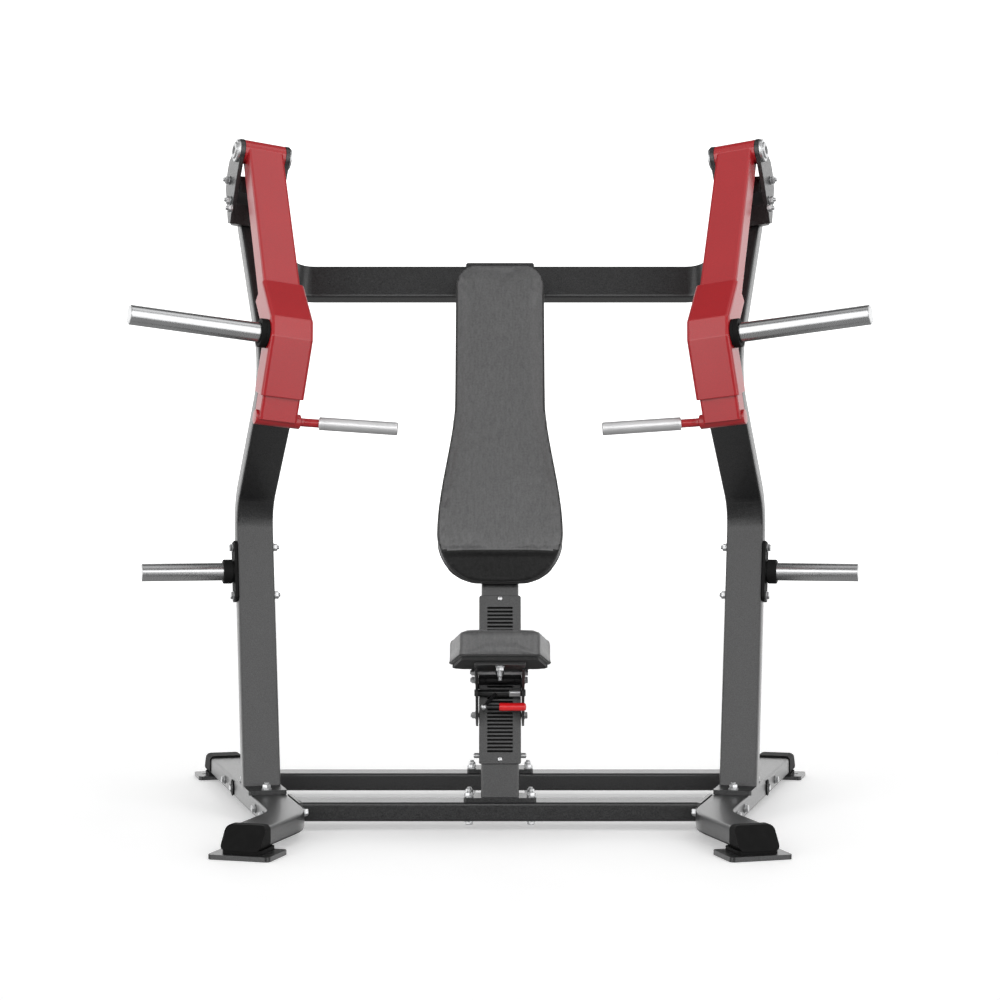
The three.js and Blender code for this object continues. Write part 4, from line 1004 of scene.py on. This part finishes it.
def crown(piece, thick, share_at, rise=3.0):
    """Raises the front panel toward the pad's middle, as foam under a stretched cover does."""
    for vertex in piece.data.vertices:
        co = vertex.co
        depth = max(0.0, min(1.0, co.z / (thick * MM)))
        co.z += rise * MM * depth * depth * share_at(co.x / MM, co.y / MM)


def smooth_vinyl(piece):
    """Gives a pad its vinyl, evens out the remeshed surface and subdivides it."""
    mesh = piece.data
    mesh.polygons.foreach_set("use_smooth", [True] * len(mesh.polygons))
    mesh.materials.clear()
    mesh.materials.append(SURFACES["upholstery"])
    relax = piece.modifiers.new("relax", "SMOOTH")
    relax.iterations = 3
    relax.factor = 0.5
    evaluated_copy(piece)
    subdivision = piece.modifiers.new("subdivision", "SUBSURF")
    subdivision.levels = 1
    subdivision.render_levels = 1


def fold(piece, line, slope, reach=15.0):
    """Sharpens the crease across a pad where its front panel turns back."""
    vertices = piece.data.vertices
    ahead = [v.co.z for v in vertices if reach < v.co.y / MM - line < reach + 8 and v.normal.z > 0.9]
    level = sum(ahead) / len(ahead)
    for vertex in vertices:
        distance = vertex.co.y / MM - line
        if abs(distance) < reach and vertex.normal.z > 0.75:
            ideal = level - max(0.0, -distance) * slope * MM
            blend = min(1.0, (reach - abs(distance)) / 9)
            vertex.co.z += (ideal - vertex.co.z) * blend * blend * (3 - 2 * blend)


def surface_path(piece, points, offset):
    """Points moved to the nearest place on a pad's surface, for its seams."""
    tree = BVHTree.FromObject(piece, bpy.context.evaluated_depsgraph_get())
    path = []
    for at in points:
        hit, normal, _, _ = tree.find_nearest(at)
        path.append(hit + normal * offset * MM if hit else at)
    return path


def closed_cord(name, path, radius, surface, body, segments=10):
    """A thin closed cord along the path, for a pad's edge seams."""
    shell = bmesh.new()
    count = len(path)
    rings = []
    for i, at in enumerate(path):
        x, y, _ = axes_along((path[(i + 1) % count] - path[i - 1]).normalized())
        rings.append([shell.verts.new(at + spoke(x, y, 2 * math.pi * k / segments) * radius * MM)
                      for k in range(segments)])
    for i in range(count):
        low, high = rings[i], rings[(i + 1) % count]
        best = min(range(segments), key=lambda s: (low[0].co - high[s].co).length)
        for k in range(segments):
            m = (k + 1) % segments
            shell.faces.new((low[k], low[m], high[(m + best) % segments], high[(k + best) % segments]))
    return finished(name, shell, surface, body, slot="upholstery")


def spaced(outline, step):
    """Evenly spaced points around a closed outline."""
    total = outline + [outline[0]]
    made, carry = [], 0.0
    for a, b in zip(total, total[1:]):
        length = (b - a).length
        while carry < length:
            made.append(a.lerp(b, carry / length))
            carry += step
        carry -= length
    return made


def back_share(x, y):
    """How much of the crown the back pad has at a place; none on the sloped end."""
    return max(0.0, 1 - (x / 150) ** 2) * max(0.0, min(1.0, (y - BEVEL_TOP - 20) / 160))


def seat_share(x, y):
    """How much of the crown the seat pad has at a place."""
    return max(0.0, 1 - (x / 130) ** 2) * max(0.0, 1 - ((y - 170) / 180) ** 2)


BACK_ALONG = (BACK_TOP - UPPER_BAR_HEIGHT) / math.cos(RECLINE) - BACK_LONG / 2 - 22
BACK_AHEAD = 25.3 + 10 + 15 + 0.6           # half the bar, the bracket, the board and the gaps between them
BACK_AT = UPPER_BAR + (RECLINE_UP * BACK_ALONG + RECLINE_FRONT * BACK_AHEAD) * MM
BACK_PLACE = basis(BACK_AT, X_AXIS, RECLINE_UP, RECLINE_FRONT)
back_pad = pad_blank("back_pad_cover", back_outline(-1.5), BACK_THICK - FOAM_MARGIN,
                     ((0, BEVEL_TOP, BACK_THICK - FOAM_MARGIN), (0, -BACK_DROP, BACK_BEVEL)))
inflate(back_pad, 5.5)
crown(back_pad, BACK_THICK, back_share)
smooth_vinyl(back_pad)
fold(back_pad, BEVEL_TOP, BACK_DROP / BACK_BEVEL)
back_pad.data.materials.append(SURFACES["side_vinyl"])
# painted shade: the sides and the sloped lower end, which turn away from the light, get the darker vinyl
for face in back_pad.data.polygons:
    if face.normal.z < 0.55 or face.center.y < BEVEL_TOP * MM:
        face.material_index = 1
back_pad.data.transform(BACK_PLACE)
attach(back_pad, "frame")
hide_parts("back_pad")

SEAT_PLACE = basis(SEAT_FRONT - SEAT_UP * SEAT_THICK * MM, X_AXIS, SEAT_BACK, SEAT_UP)
seat_pad = pad_blank("seat_pad_cover", seat_outline(-1.0), SEAT_THICK - FOAM_MARGIN)
inflate(seat_pad, 5.0)
crown(seat_pad, SEAT_THICK, seat_share)
smooth_vinyl(seat_pad)
seat_pad.data.transform(SEAT_PLACE)
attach(seat_pad, "seat")
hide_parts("seat_pad")
bpy.context.view_layer.update()


def edge_seam(name, pad, outline, level, place, body, radius=0.9):
    """A cord around a pad's edge, at a height above its back that may vary along the outline."""
    points = [place @ Vector((p.x * MM, p.y * MM, level(p) * MM)) for p in spaced(outline, 6)]
    closed_cord(name, surface_path(pad, points, radius * 0.35), radius, "piping", body)


def front_edge(p):
    """Height of the back pad's front edge, which drops along the sloped lower end."""
    return BACK_THICK - 5 - max(0.0, BEVEL_TOP - p.y) * BACK_DROP / BACK_BEVEL


def board_edge(p):
    """Height of a pad's edge next to its board, the same all round."""
    return 4.0


edge_seam("back_pad_seam", back_pad, back_outline(2.0), front_edge, BACK_PLACE, "frame")
edge_seam("back_pad_rear_seam", back_pad, back_outline(2.0), board_edge, BACK_PLACE, "frame", 1.4)
edge_seam("seat_pad_lower_seam", seat_pad, seat_outline(2.0), board_edge, SEAT_PLACE, "seat", 1.4)
